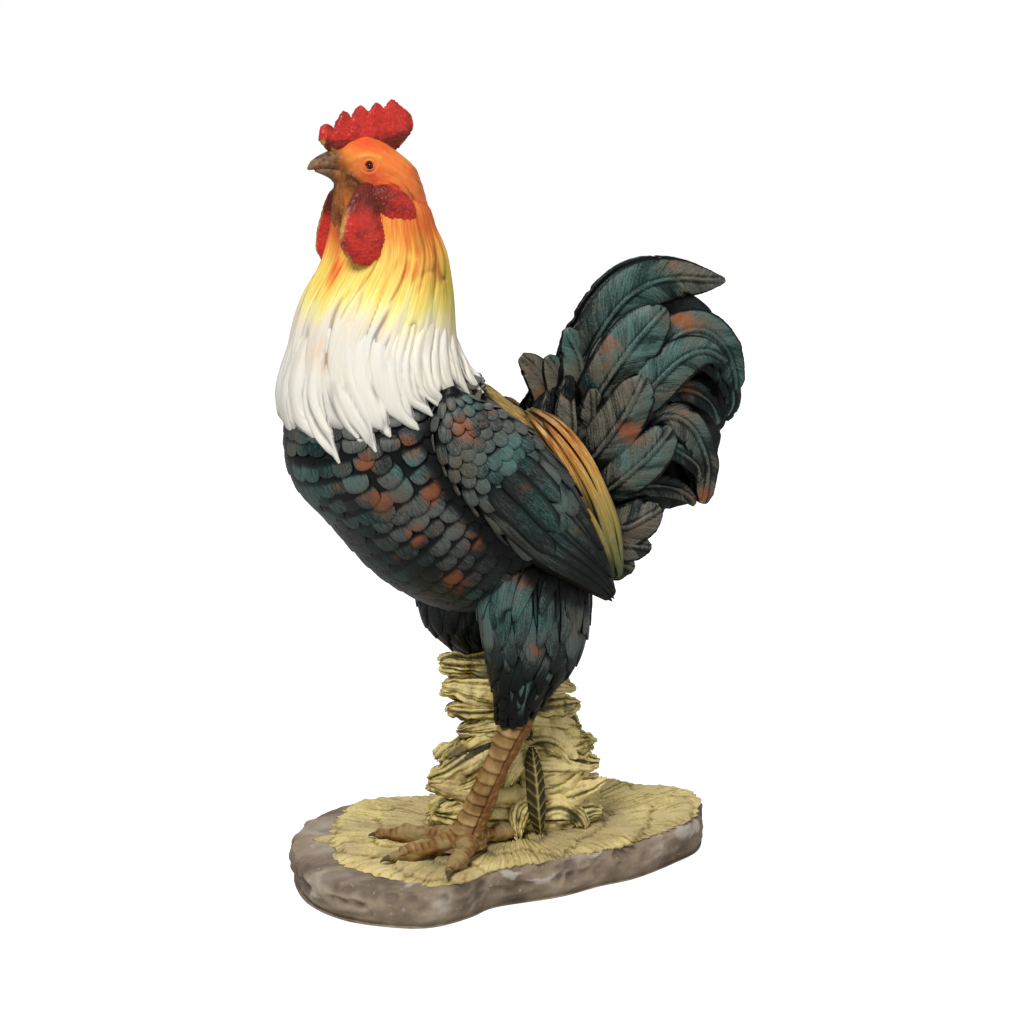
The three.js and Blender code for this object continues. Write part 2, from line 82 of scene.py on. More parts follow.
softbox("key_light", (-1.3, -1.5, 2.5), 0.9, 74.0)
softbox("fill_light", (1.9, -1.7, 1.2), 1.6, 13.0)
softbox("back_light", (0.4, 2.1, 1.8), 1.6, 16.0)

world = bpy.data.worlds.new("studio")
world.use_nodes = True
scene.world = world
sky = world.node_tree.nodes
sky["Background"].inputs["Color"].default_value = (1.0, 1.0, 1.0, 1.0)
rays = sky.new("ShaderNodeLightPath")
level = sky.new("ShaderNodeMapRange")
level.inputs["To Min"].default_value = ambient_level
level.inputs["To Max"].default_value = 1.0
world.node_tree.links.new(rays.outputs["Is Camera Ray"], level.inputs["Value"])
world.node_tree.links.new(level.outputs[0], sky["Background"].inputs["Strength"])


class Wire:
    """A value or colour on its way through a finish. Sums on values add Math nodes."""

    def __init__(self, finish, socket):
        self.finish = finish
        self.socket = socket

    def _sum(self, operation, first, second):
        """A Math node of two values."""
        return self.finish.node("ShaderNodeMath", {"operation": operation}, {0: first, 1: second})

    def __add__(self, other):
        return self._sum("ADD", self, other)

    def __sub__(self, other):
        return self._sum("SUBTRACT", self, other)

    def __rsub__(self, other):
        return self._sum("SUBTRACT", other, self)

    def __mul__(self, other):
        return self._sum("MULTIPLY", self, other)

    __radd__ = __add__
    __rmul__ = __mul__


paint_gloss, bump_strength = 0.22, 0.6


class Finish:
    """One painted finish: a material with a Principled shader, and the nodes that feed it."""

    def __init__(self, name, **constants):
        self.material = bpy.data.materials.new(name)
        self.material.use_nodes = True
        self.tree = self.material.node_tree
        self.shader = self.tree.nodes["Principled BSDF"]
        self.place = self.node("ShaderNodeTexCoord", {}, {}, "Object")
        self.shader.inputs["Specular IOR Level"].default_value = paint_gloss
        for socket, value in constants.items():
            self.shader.inputs[socket.replace("_", " ").title()].default_value = value

    def node(self, kind, settings, sockets, output=0):
        """Any node: its settings are set first, then the values or links of its sockets."""
        made = self.tree.nodes.new(kind)
        for key, value in settings.items():
            if key == "stops":
                band = made.color_ramp.elements
                while len(band) < len(value):
                    band.new(1.0)
                for stop, (position, colour) in zip(band, value):
                    stop.position = position
                    stop.color = (*colour, 1.0)
            else:
                setattr(made, key, value)
        for key, value in sockets.items():
            if isinstance(value, Wire):
                self.tree.links.new(value.socket, made.inputs[key])
            else:
                made.inputs[key].default_value = value
        return Wire(self, made.outputs[output])

    def mark(self, name):
        """A value that the mesh carries on its points."""
        return self.node("ShaderNodeAttribute", {"attribute_name": name}, {}, "Fac")

    def speckle(self, scale, detail=3.0):
        """Noise from 0 to 1 with grains of 1 / scale metres."""
        return self.node("ShaderNodeTexNoise", {}, {"Vector": self.place, "Scale": scale, "Detail": detail})

    def hairs(self, across, along, apart=0.0):
        """Noise from 0 to 1 drawn out along a feather, from two marks in mm."""
        drawn = self.node("ShaderNodeCombineXYZ", {}, {0: across, 1: along, 2: apart})
        return self.node("ShaderNodeTexNoise", {}, {"Vector": drawn, "Scale": 1.0, "Detail": 2.0})

    def fade(self, value, low, high, start=0.0, end=1.0):
        """A smooth step of a value, from start at low to end at high."""
        return self.node(
            "ShaderNodeMapRange", {"interpolation_type": "SMOOTHSTEP"},
            {"Value": value, "From Min": low, "From Max": high, "To Min": start, "To Max": end})

    def over(self, under, top, mask):
        """One colour laid over another where the mask is 1."""
        under, top = ((*c, 1.0) if isinstance(c, tuple) else c for c in (under, top))
        return self.node("ShaderNodeMix", {"data_type": "RGBA"}, {0: mask, 6: under, 7: top}, 2)

    def layers(self, colour, *coats):
        """A colour with coats laid over it in turn. Each is a colour and the mask that it shows in."""
        for top, mask in coats:
            colour = self.over(colour, top, mask)
        return colour

    def ramp(self, value, *stops):
        """Colours placed along a value."""
        return self.node("ShaderNodeValToRGB", {"stops": stops}, {"Fac": value})

    def coat(self, colour, roughness, height=None, depth=0.0004):
        """Feeds colour, roughness and a bump of a height to the shader."""
        self.tree.links.new(colour.socket, self.shader.inputs["Base Color"])
        self.tree.links.new(roughness.socket, self.shader.inputs["Roughness"])
        if height is not None:
            bump = self.node(
                "ShaderNodeBump", {}, {"Height": height, "Strength": bump_strength, "Distance": depth})
            self.tree.links.new(bump.socket, self.shader.inputs["Normal"])


floor_finish = Finish("pale_floor")
floor_rays = floor_finish.node("ShaderNodeLightPath", {}, {}, "Is Camera Ray")
floor_tone = floor_finish.fade(floor_finish.speckle(3.0), 0.2, 0.8, 0.50, 0.52)
floor_finish.tree.links.new(floor_tone.socket, floor_finish.shader.inputs["Base Color"])
floor_finish.shader.inputs["Roughness"].default_value = 0.9
floor_finish.shader.inputs["Emission Strength"].default_value = 1.0
floor_glow = floor_finish.over((0.0, 0.0, 0.0), (0.86, 0.86, 0.86), floor_rays)
floor_finish.tree.links.new(floor_glow.socket, floor_finish.shader.inputs["Emission Color"])
floor_mesh = bpy.data.meshes.new("studio_floor")
floor_half, floor_height = 60.0, -0.0004
floor_mesh.from_pydata(
    [(x * floor_half, y * floor_half, floor_height) for x, y in ((-1, -1), (1, -1), (1, 1), (-1, 1))], [],
    [(0, 1, 2, 3)])
floor_mesh.materials.append(floor_finish.material)
studio_floor = bpy.data.objects.new("studio_floor", floor_mesh)
scene.collection.objects.link(studio_floor)

# Base slab.
# A thick rock slab cast flat underneath, with a lumpy rounded edge and an outline like a long
# pebble that is drawn in along the bird's left side. It is painted grey-brown with a mauve wash.

slab_length, slab_width = 334.0, 212.0
slab_outline = np.array([
    (0.5, 0.066), (0.482, 0.19), (0.413, 0.311), (0.338, 0.415), (0.135, 0.443), (-0.075, 0.472),
    (-0.27, 0.5), (-0.374, 0.425), (-0.443, 0.274), (-0.488, 0.085), (-0.5, -0.137), (-0.458, -0.33),
    (-0.368, -0.462), (-0.293, -0.5), (-0.207, -0.462), (-0.129, -0.4), (0.021, -0.39), (0.129, -0.344),
    (0.225, -0.316), (0.344, -0.226), (0.44, -0.123)]) * (slab_length, slab_width)
slab_middle = np.array([5.0, 4.0])
slab_steps = 26
mm = 0.001


def along_rows(rows, place):
    """Rows read at fractional places by Catmull-Rom: a cubic through each row, whose slope there is
    half the step between the row's neighbours."""
    rows = np.asarray(rows, float)
    place = np.clip(place, 0, len(rows) - 1)
    i = np.minimum(place.astype(int), len(rows) - 2)
    t = (place - i)[..., None]
    a, b = rows[np.maximum(i - 1, 0)], rows[i]
    c, d = rows[i + 1], rows[np.minimum(i + 2, len(rows) - 1)]
    return (
        b * (2 * t**3 - 3 * t**2 + 1) + c * (3 * t**2 - 2 * t**3) + (c - a) / 2 * (t**3 - 2 * t**2 + t)
        + (d - b) / 2 * (t**3 - t**2))


def grain(places, seed=0):
    """Smooth noise from -1 to 1: a random value at each whole place, blended by smoothstep between
    the eight that are around a point."""
    cell = np.floor(places).astype(np.int64)
    part = places - cell
    part = part * part * (3 - 2 * part)
    total = np.zeros(places.shape[:-1])
    primes, seed_prime = (73856093, 19349663, 83492791), 9176351
    mixers, low_bits = ((13, 1274126177), (15, 668265263)), 0x7FFFFFFF
    for corner in np.ndindex(2, 2, 2):
        mixed = np.bitwise_xor.reduce((cell + corner) * primes, -1) ^ (seed * seed_prime)
        for shift, mixer in mixers:
            mixed = ((mixed ^ (mixed >> shift)) * mixer) & low_bits
        weight = np.prod(np.where(corner, part, 1 - part), -1)
        total += weight * (mixed / (low_bits // 2) - 1)
    return total


def rough(points, size, seed=0):
    """Three layers of noise over each other, each of half the size and half the height."""
    return sum(grain(points / size * 2**k, seed + k) / 2**k for k in range(3))


def step(value, low, high):
    """A smooth step from 0 at low to 1 at high."""
    t = np.clip((value - low) / (high - low), 0, 1)
    return t * t * (3 - 2 * t)


def together(*values):
    """Values of different shapes brought to one shape, as the x, y and z of a grid of points."""
    return np.stack(np.broadcast_arrays(*values), -1)


def model(name, skins, finish):
    """One mesh of closed skins. A skin is a grid of points in mm that closes on itself sideways, or a
    stack of such grids, and the marks that its paint needs on the same grid. A fan on the middle of
    each end row closes it."""
    points, quads, fans = [], [], []
    marks = {key: [] for key in skins[0][1]}
    start = 0
    for grid, values in skins:
        grid = grid.reshape(-1, *grid.shape[-3:])
        many, rows, around = grid.shape[:3]
        ids = start + np.arange(many * rows * around).reshape(many, rows, around)
        beside = np.roll(ids, -1, 2)
        ends = start + ids.size + np.arange(many * 2).reshape(many, 2, 1)
        quad = np.stack([ids[:, :-1], beside[:, :-1], beside[:, 1:], ids[:, 1:]], -1).reshape(-1, 4)
        fan = np.concatenate([
            together(beside[:, 0], ids[:, 0], ends[:, 0]).reshape(-1, 3),
            together(ids[:, -1], beside[:, -1], ends[:, 1]).reshape(-1, 3)])
        placed = np.concatenate([grid.reshape(-1, 3), grid[:, [0, -1]].mean(2).reshape(-1, 3)])
        a, b, c, d = (placed[quad[:, k] - start] for k in range(4))
        volume = np.sum(a * np.cross(b, c)) + np.sum(a * np.cross(c, d))
        if volume < 0:
            quad, fan = quad[:, ::-1], fan[:, ::-1]
        points.append(placed)
        quads.append(quad)
        fans.append(fan)
        for key in marks:
            value = np.broadcast_to(values[key], (many, rows, around))
            marks[key].append(np.concatenate([value.ravel(), value[:, [0, -1]].mean(2).ravel()]))
        start += len(placed)
    points, quads, fans = map(np.concatenate, (points, quads, fans))
    mesh = bpy.data.meshes.new(name)
    mesh.vertices.add(len(points))
    mesh.vertices.foreach_set("co", (points * mm).astype(np.float32).ravel())
    corners = np.concatenate([quads.ravel(), fans.ravel()]).astype(np.int32)
    mesh.loops.add(len(corners))
    mesh.loops.foreach_set("vertex_index", corners)
    starts = np.concatenate([np.arange(len(quads)) * 4, quads.size + np.arange(len(fans)) * 3])
    mesh.polygons.add(len(starts))
    mesh.polygons.foreach_set("loop_start", starts.astype(np.int32))
    mesh.polygons.foreach_set("use_smooth", np.ones(len(starts), bool))
    mesh.update(calc_edges=True)
    for key, value in marks.items():
        carried = mesh.attributes.new(key, "FLOAT", "POINT")
        carried.data.foreach_set("value", np.concatenate(value).astype(np.float32))
    mesh.materials.append(finish.material)
    piece = bpy.data.objects.new(name, mesh)
    scene.collection.objects.link(piece)
    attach(piece, "root")
    return piece


def closed_line(outline, steps):
    """A closed outline made smooth, with so many steps on each side."""
    turned = np.concatenate([outline[-2:], outline, outline[:3]])
    return along_rows(turned, 2 + np.arange(len(outline) * steps) / steps)


rock_finish = Finish("painted_rock")
rock_patch = rock_finish.speckle(28.0, 5.0)
rock_fine = rock_finish.speckle(260.0, 4.0)
rock_low = rock_finish.mark("low")
# Painted highlight on the raised parts of the upper edge; painted shade in the dents and at the foot.
rock_colour = rock_finish.layers(
    rock_finish.ramp(
        rock_patch, (0.3, (0.135, 0.095, 0.062)), (0.45, (0.235, 0.178, 0.122)), (0.56, (0.32, 0.248, 0.172)),
        (0.72, (0.50, 0.44, 0.36))),
    ((0.26, 0.19, 0.145), rock_finish.fade(rock_finish.speckle(17.0), 0.5, 0.66, 0.0, 0.4)),
    ((0.58, 0.53, 0.47), rock_finish.fade(rock_finish.mark("chalk") + rock_fine * 0.9, 0.85, 1.35, 0.0, 0.6)),
    ((0.055, 0.043, 0.035), rock_low * 0.75),
    ((0.62, 0.56, 0.52), rock_finish.fade(rock_fine, 0.62, 0.75, 0.0, 0.35)))
rock_finish.coat(rock_colour, rock_finish.fade(rock_fine, 0.3, 0.7, 0.55, 0.85), rock_fine)

slab_loop = closed_line(slab_outline, slab_steps)
slab_profile = [
    (0.0, 0.0, 0.0), (0.0, 0.5, 0.0), (0.0, 0.945, 0.0), (0.8, 0.962, 0.0), (5.0, 0.984, 0.6),
    (13.0, 1.0, 1.0), (20.0, 1.0, 1.0), (24.5, 0.985, 1.0), (26.6, 0.95, 0.8), (27.2, 0.86, 0.5),
    (27.2, 0.4, 0.2), (27.0, 0.0, 0.0)]
profile = along_rows(
    slab_profile,
    np.sort(np.concatenate([np.linspace(0, 2, 5), np.linspace(2.05, 9.2, 58), np.linspace(9.4, 11, 8)])))
height, share, lump = (profile[:, None, k] for k in range(3))
slab_grid = together(
    slab_middle[0] + slab_loop[None, :, 0] * share, slab_middle[1] + slab_loop[None, :, 1] * share, height)
slab_out = together(*unit(slab_loop).T, 0)
facets = np.abs(grain(slab_grid / (24.0, 24.0, 13.0), 9))
facets = facets + 0.6 * np.abs(grain(slab_grid / (11.0, 11.0, 7.0), 10))
dent = rough(slab_grid * (1, 1, 1.6), 34.0, 1) * 1.9 + (0.45 - facets) * 4.2 + rough(slab_grid, 7.0, 5)
slab_grid = slab_grid + slab_out * (np.minimum(dent, 1.6) - 1.2)[..., None] * lump[..., None]
slab_grid[..., 2] += lump * (rough(slab_grid, 15.0, 12) * 0.8) * step(slab_grid[..., 2], 3, 9)
# The low mark is painted shade in the dents and at the foot; the second mark is the painted highlight.
slab_piece = model("rock_slab", [(slab_grid, {
    "low": step(-dent, 0.3, 2.6) * 0.6 + 0.15 * step(-slab_grid[..., 2], -5, -1),
    "chalk": step(dent, 0.2, 1.7) * step(slab_grid[..., 2], 6, 17) * (
        0.5 + 0.5 * rough(slab_grid, 26.0, 6))})], rock_finish)
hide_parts("base_slab")

# Straw bed.
# Mats of cut straw carved in low relief on the slab's top. The stalks fan out from the sheaf in
# several overlapping layers and end in a ragged fringe a little way inside the slab's edge.

bed_middle = np.array([12.0, 4.0])
bed_top, bed_thickness = 27.0, 5.2
bed_bearings = 800


def full_turn(count):
    """So many even steps round a full turn, in radians."""
    return np.linspace(0, 2 * np.pi, count, endpoint=False)


bearing = full_turn(bed_bearings)
loop_from_middle = slab_loop + slab_middle - bed_middle
loop_bearing = np.arctan2(loop_from_middle[:, 1], loop_from_middle[:, 0])
edge_reach = np.interp(bearing, loop_bearing, np.linalg.norm(loop_from_middle, axis=1), period=2 * np.pi)


def around_noise(turn, scale, seed, depth=0.0):
    """Noise that joins up with itself round a full turn, with features 1 / scale of a radian wide."""
    return grain(together(np.cos(turn) * scale, np.sin(turn) * scale, depth), seed)


straw_finish = Finish("painted_straw")
straw_low = straw_finish.mark("low")
straw_soiling_and_shade = straw_finish.mark("dirt")
straw_patch = straw_finish.speckle(34.0, 4.0)
straw_fine = straw_finish.speckle(420.0, 3.0)
# Low places are darker as painted shade; the dark olive coat is partly soiling, partly painted shade.
straw_colour = straw_finish.layers(
    straw_finish.ramp(
        straw_low + straw_finish.fade(straw_patch, 0.3, 0.7, -0.12, 0.16)
        + straw_finish.fade(straw_fine, 0.3, 0.7, -0.12, 0.14),
        (0.02, (0.73, 0.60, 0.27)), (0.25, (0.59, 0.465, 0.17)), (0.5, (0.33, 0.25, 0.06)),
        (0.85, (0.055, 0.045, 0.012))),
    ((0.33, 0.24, 0.14), straw_finish.fade(straw_patch, 0.55, 0.7, 0.0, 0.35)),
    ((0.27, 0.19, 0.12), straw_finish.mark("beige") * 0.42), ((0.05, 0.055, 0.03), straw_soiling_and_shade))
straw_finish.coat(straw_colour, straw_finish.fade(straw_fine, 0.3, 0.7, 0.6, 0.85), straw_fine, 0.0012)

under_rows, top_rows = 6, 68
bed_rows = np.concatenate([np.linspace(0.0, 0.97, under_rows), [1.0], np.linspace(0.995, 0.0, top_rows)])
upper = np.arange(len(bed_rows)) >= under_rows
turn = bearing[None, :]
share = bed_rows[:, None]
bare = 24.0 * step(-np.cos(turn), 0.55, 0.95) * step(np.abs(np.sin(turn + 0.2)), -0.1, 0.1)
fringe = 4.5 + bare + 2.6 * around_noise(turn, 5, 21) + 3.0 * around_noise(turn, 42, 22)
reach = (edge_reach[None, :] - fringe) * share
wander = 0.10 * grain(together(reach / 45, np.cos(turn) * 3, np.sin(turn) * 3), 23)
flow = turn + wander
stalk = 0.7 * around_noise(flow, 60, 24, reach / 30) + 0.8 * around_noise(flow, 130, 25, reach / 24)
layer = reach / 33 + 0.55 * around_noise(turn, 3.3, 26) + 0.13 * around_noise(turn, 30, 27)
overlap = layer - np.floor(layer)
knobs = grain(together(reach * np.cos(turn) / 22, reach * np.sin(turn) / 22, 0.5), 28)
relief = overlap * 2.4 + stalk * 0.9 + knobs
rise = step(edge_reach[None, :] - fringe - reach, 0.0, 9.0)
bed_height = np.where(
    upper[:, None], bed_top - 0.6 + 1.6 * rise + relief * (0.35 + 0.65 * rise) + 0.8, bed_top - 1.5)
bed_height = np.clip(bed_height, bed_top - 1.5, bed_top + bed_thickness + 1.5)
bed_grid = together(bed_middle[0] + reach * np.cos(turn), bed_middle[1] + reach * np.sin(turn), bed_height)
# Painted shade in the grooves between stalks and under the edge of each overlapping layer.
bed_low = step(-stalk, -0.2, 0.95) * 0.5 + step(0.16 - overlap, 0, 0.12) * 0.4
# Painted shade round the foot of the sheaf and round the left foot, broken into patches.
from_sheaf = np.hypot((bed_grid[..., 0] - 14) / 78, (bed_grid[..., 1] - 4) / 36)
from_foot = np.hypot((bed_grid[..., 0] + 62) / 44, (bed_grid[..., 1] + 37) / 34)
shade_patches = step(rough(bed_grid, 24.0, 29), -0.35, 0.55)
bed_piece = model("straw_mats", [(bed_grid, {
    "low": np.clip(bed_low, 0, 1), "beige": step(rough(bed_grid, 40.0, 30), -0.6, 0.4),
    "dirt": np.maximum(
        0.35 * step(-from_sheaf, -1.2, -0.9),
        0.42 * shade_patches * step(-np.minimum(from_sheaf, from_foot), -1.5, -0.7))})], straw_finish)
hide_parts("straw_bed")

# Straw sheaf.
# Three tiers of bound straw stacked under the belly, cast in one with the slab. Each tier is
# a few thick bundles that spread from the middle to both sides and end in ragged cut stalks.


def swept(rows, facing, count, turn, section=None):
    """A form carried along a path. Rows are x, y, z, half width and half thickness. At each place the
    ring is square to the path: centre + width cos(turn) across + thickness sin(turn) out, where
    across is facing x ahead, and out is ahead x across."""
    line = along_rows(rows, np.linspace(0, len(rows) - 1, count))
    ahead = unit(np.gradient(line[:, :3], axis=0))
    across = unit(np.cross(facing, ahead))
    out = np.cross(ahead, across)
    wide, thick = (np.cos(turn), np.sin(turn)) if section is None else section
    return (
        line[:, None, :3] + across[:, None] * (line[:, 3, None] * wide)[..., None]
        + out[:, None] * (line[:, 4, None] * thick)[..., None])


def outward(grid):
    """Unit normals of a grid that closes sideways: the cross product of its two differences, turned
    away from the middle of each row."""
    normal = np.cross(np.roll(grid, -1, -2) - np.roll(grid, 1, -2), np.gradient(grid, axis=-3))
    normal = unit(normal)
    return normal * np.sign(np.sum(normal * (grid - grid.mean(-2, keepdims=True))))


def bundle(rows, seed, facing=(0, -1, 0), count=56, around=84, ragged=3.4):
    """A bundle of stalks: a swept form with long grooves and a knobbly rounded end."""
    turn = full_turn(around)
    grid = swept(rows, facing, count, turn[None, :])
    along = np.linspace(0, 1, count)[:, None]
    length = np.linalg.norm(np.diff(np.asarray(rows, float)[:, :3], axis=0), axis=1).sum()
    sway = turn[None, :] + 0.35 * np.sin(along * 3.0 + seed)
    stalk = around_noise(sway, 5.5, seed, along * length / 40)
    stalk = stalk + 0.7 * around_noise(sway, 12.0, seed + 1, along * length / 26)
    lumps = rough(grid, 15.0, seed + 2)
    tuft = np.exp(-((along - 0.86) / 0.09) ** 2) * np.abs(around_noise(sway, 3.5, seed + 5))
    ends = grain(together(along * length / 9, np.cos(sway) * 2, np.sin(sway) * 2), seed + 6)
    grid = grid + outward(grid) * (
        stalk * 1.25 + lumps * 2.6 + tuft * 2.8 + ends * 1.5 + rough(grid, 4.4, seed + 7))[..., None]
    heading = unit(grid[-1].mean(0) - grid[-8].mean(0))
    grid = grid + heading * (
        ragged * around_noise(turn[None, :], 5.0, seed + 3) * step(along, 0.8, 1.0))[..., None]
    # Painted shade: dark in the grooves, in the dips between lumps and in the holes of the cut stalks.
    holes = step(grain(grid / 5.0, seed + 4), 0.6, 0.85)
    return grid, {
        "low": np.clip(step(-stalk, -0.2, 0.9) * 0.75 + step(-lumps, 0.1, 1.0) * 0.6, 0, 1), "beige": 0.0,
        # Dark olive in the holes and in patches: partly soiling, partly painted shade.
        "dirt": np.clip(
            0.8 * holes * step(lumps, -0.3, 0.1)
            + 0.8 * step(rough(grid, 22.0, seed + 8) - 0.7 * stalk, 0.35, 1.0), 0, 0.9)}


sheaf_tiers = {
    "sheaf_lower": [
        [(8, 2, 58, 15, 20), (-24, -6, 63, 14, 18), (-46, -8, 69, 11, 13), (-58, -9, 72, 7, 8),
         (-61, -9, 73, 2, 2)],
        [(8, 2, 42, 15, 20), (-26, -8, 46, 14, 18), (-46, -13, 50, 10, 12), (-57, -15, 53, 6, 7),
         (-60, -15, 54, 2, 2)],
        [(8, 2, 34, 12, 18), (-22, -10, 36, 12, 16), (-42, -18, 37, 9, 12), (-53, -22, 37, 5, 6),
         (-55, -22, 37, 2, 2)],
        [(12, 2, 60, 15, 20), (40, -4, 64, 14, 18), (56, -6, 72, 11, 12), (64, -7, 78, 6, 7),
         (66, -7, 80, 2, 2)],
        [(12, 2, 46, 15, 20), (42, -6, 50, 14, 18), (60, -9, 56, 11, 12), (69, -10, 60, 6, 7),
         (71, -10, 61, 2, 2)],
        [(12, 2, 34, 12, 18), (42, -8, 36, 12, 16), (62, -13, 38, 9, 10), (71, -14, 38, 5, 6),
         (73, -14, 38, 2, 2)],
        [(12, -6, 44, 12, 14), (6, -18, 47, 11, 10), (2, -24, 42, 8, 7), (0, -27, 36, 4, 4),
         (0, -28, 33, 1, 1)],
        [(14, -6, 42, 12, 14), (34, -18, 46, 11, 9), (46, -22, 41, 8, 7), (52, -24, 35, 4, 4),
         (53, -24, 33, 1, 1)],
        [(10, 4, 44, 16, 20), (-20, 12, 46, 13, 14), (-44, 16, 44, 10, 11), (-54, 17, 42, 4, 4)],
        [(10, 4, 44, 16, 20), (42, 12, 48, 13, 14), (62, 16, 46, 10, 11), (71, 17, 44, 4, 4)]],
    "sheaf_middle": [
        [(12, 2, 94, 15, 20), (-18, -5, 92, 13, 17), (-38, -7, 86, 11, 13), (-52, -8, 80, 8, 9),
         (-60, -8, 77, 2, 2)],
        [(12, 2, 106, 14, 20), (-10, -6, 104, 13, 17), (-30, -9, 98, 10, 13), (-44, -10, 92, 6, 7),
         (-48, -10, 90, 2, 2)],
        [(12, 2, 82, 14, 20), (-16, -8, 78, 12, 16), (-34, -12, 72, 9, 11), (-46, -13, 68, 5, 6),
         (-49, -13, 67, 2, 2)],
        [(14, 2, 94, 15, 20), (40, -5, 94, 13, 17), (56, -7, 92, 10, 12), (64, -8, 90, 6, 6),
         (67, -8, 89, 2, 2)],
        [(14, 2, 80, 14, 20), (42, -8, 78, 12, 15), (58, -11, 76, 9, 10), (66, -12, 76, 5, 5),
         (68, -12, 76, 2, 2)],
        [(14, 0, 100, 12, 16), (28, -12, 98, 11, 12), (38, -17, 90, 8, 9), (44, -19, 83, 4, 4)],
        [(12, -2, 92, 13, 16), (0, -16, 86, 11, 10), (-6, -21, 78, 8, 8), (-9, -23, 70, 4, 4)],
        [(12, 4, 92, 16, 20), (46, 12, 90, 12, 14), (62, 15, 86, 9, 10), (70, 16, 84, 3, 3)],
        [(12, 4, 92, 16, 20), (-18, 12, 90, 12, 14), (-38, 14, 86, 9, 10), (-46, 14, 84, 3, 3)]],
    "sheaf_upper": [
        [(10, 3, 150, 13, 18), (-14, -2, 153, 12, 16), (-34, -4, 158, 10, 13), (-46, -5, 161, 7, 8),
         (-50, -5, 162, 2, 2)],
        [(10, 2, 138, 13, 19), (-14, -4, 139, 12, 17), (-34, -6, 142, 10, 13), (-46, -7, 144, 7, 8),
         (-50, -7, 145, 2, 2)],
        [(10, 2, 124, 12, 19), (-12, -5, 124, 11, 17), (-30, -8, 125, 9, 13), (-42, -9, 126, 6, 7),
         (-45, -9, 126, 2, 2)],
        [(12, 2, 111, 10, 18), (-8, -6, 112, 10, 16), (-24, -9, 112, 8, 11), (-36, -10, 112, 4, 5),
         (-38, -10, 112, 2, 2)],
        [(8, 3, 140, 13, 19), (28, -3, 138, 12, 16), (40, -6, 137, 8, 11), (46, -7, 136, 4, 5),
         (47, -7, 136, 1, 1)],
        [(10, 2, 125, 13, 19), (34, -5, 123, 12, 16), (46, -7, 121, 8, 11), (52, -8, 120, 4, 5),
         (53, -8, 120, 1, 1)],
        [(10, 2, 111, 11, 19), (36, -6, 110, 10, 15), (48, -8, 107, 8, 10), (54, -9, 105, 4, 5),
         (55, -9, 105, 1, 1)],
        [(12, -2, 132, 12, 14), (8, -14, 124, 10, 9), (10, -18, 112, 8, 7), (12, -20, 102, 4, 4)]]}
for tier, (node, bundles) in enumerate(sheaf_tiers.items()):
    sheaf_piece = model(
        node + "_straw", [bundle(rows, seed=100 * tier + 10 * i) for i, rows in enumerate(bundles)],
        straw_finish)
    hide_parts(node)

# Leaf on the sheaf.
# A narrow upright leaf, modelled with a midrib and raised veins, pressed against the left of the
# sheaf. It is painted dark olive with its veins rubbed pale.

leaf_finish = Finish("painted_leaf")
leaf_colour = leaf_finish.ramp(
    leaf_finish.mark("low"), (0.05, (0.36, 0.30, 0.11)), (0.35, (0.11, 0.090, 0.024)),
    (0.75, (0.030, 0.024, 0.006)))
leaf_finish.coat(
    leaf_colour, leaf_finish.fade(leaf_finish.speckle(300.0), 0.3, 0.7, 0.5, 0.8), leaf_finish.speckle(500.0))

leaf_steps, leaf_length, leaf_half = 120, 66.0, 6.2
leaf_turn = full_turn(64)[None, :]
leaf_grid = swept(
    [(17, -27, 33, 3.0, 2.2), (14, -30.5, 50, 6.6, 3), (12, -30.5, 74, 7.0, 3), (11, -28, 90, 5.2, 2.6),
     (11, -26, 98, 1.8, 1.4)],
    facing=(0, -1, 0), count=leaf_steps, turn=leaf_turn)
leaf_along = np.linspace(0, leaf_length, leaf_steps)[:, None]
leaf_across = np.cos(leaf_turn) * leaf_half
vein = np.exp(-(((leaf_along - 0.9 * np.abs(leaf_across)) / 6.0 + 0.5) % 1 - 0.5) ** 2 / 0.012)
rib = np.exp(-(leaf_across / 0.9) ** 2)
raised = np.clip(vein * 0.8 + rib, 0, 1)
leaf_grid = leaf_grid + outward(leaf_grid) * (raised * 0.9)[..., None] * (np.sin(leaf_turn) > 0)[..., None]
leaf_piece = model("sheaf_leaf_blade", [(leaf_grid, {"low": 0.75 - 0.75 * raised})], leaf_finish)
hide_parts("sheaf_leaf")

# Feet.
# Each shank and its four toes are cast in one round a steel rod, with broad scutes down the front
# and on the toes. They are painted orange-brown, with a pale dry brush and dark claws.


def ringed(rows, count, around):
    """Rings along a body. Rows are x, y, z, depth, width and tilt in degrees. A ring is the centre
    + depth cos(turn) (cos tilt, 0, sin tilt) + width sin(turn) (0, 1, 0)."""
    line = along_rows(rows, np.linspace(0, len(rows) - 1, count))
    turn = full_turn(around)
    tilt = np.radians(line[:, 5])
    deep = together(np.cos(tilt), 0, np.sin(tilt)) * line[:, 3, None]
    wide = np.array([0.0, 1.0, 0.0]) * line[:, 4, None]
    return (
        line[:, None, :3] + np.cos(turn)[None, :, None] * deep[:, None]
        + np.sin(turn)[None, :, None] * wide[:, None])


def distance_along(grid):
    """How far each row is from the first, in mm, measured between the middles of the rows."""
    middle = grid.mean(-2)
    gap = np.linalg.norm(np.diff(middle, axis=-2), axis=-1)
    return np.concatenate([np.zeros_like(gap[..., :1]), np.cumsum(gap, -1)], -1)[..., None]


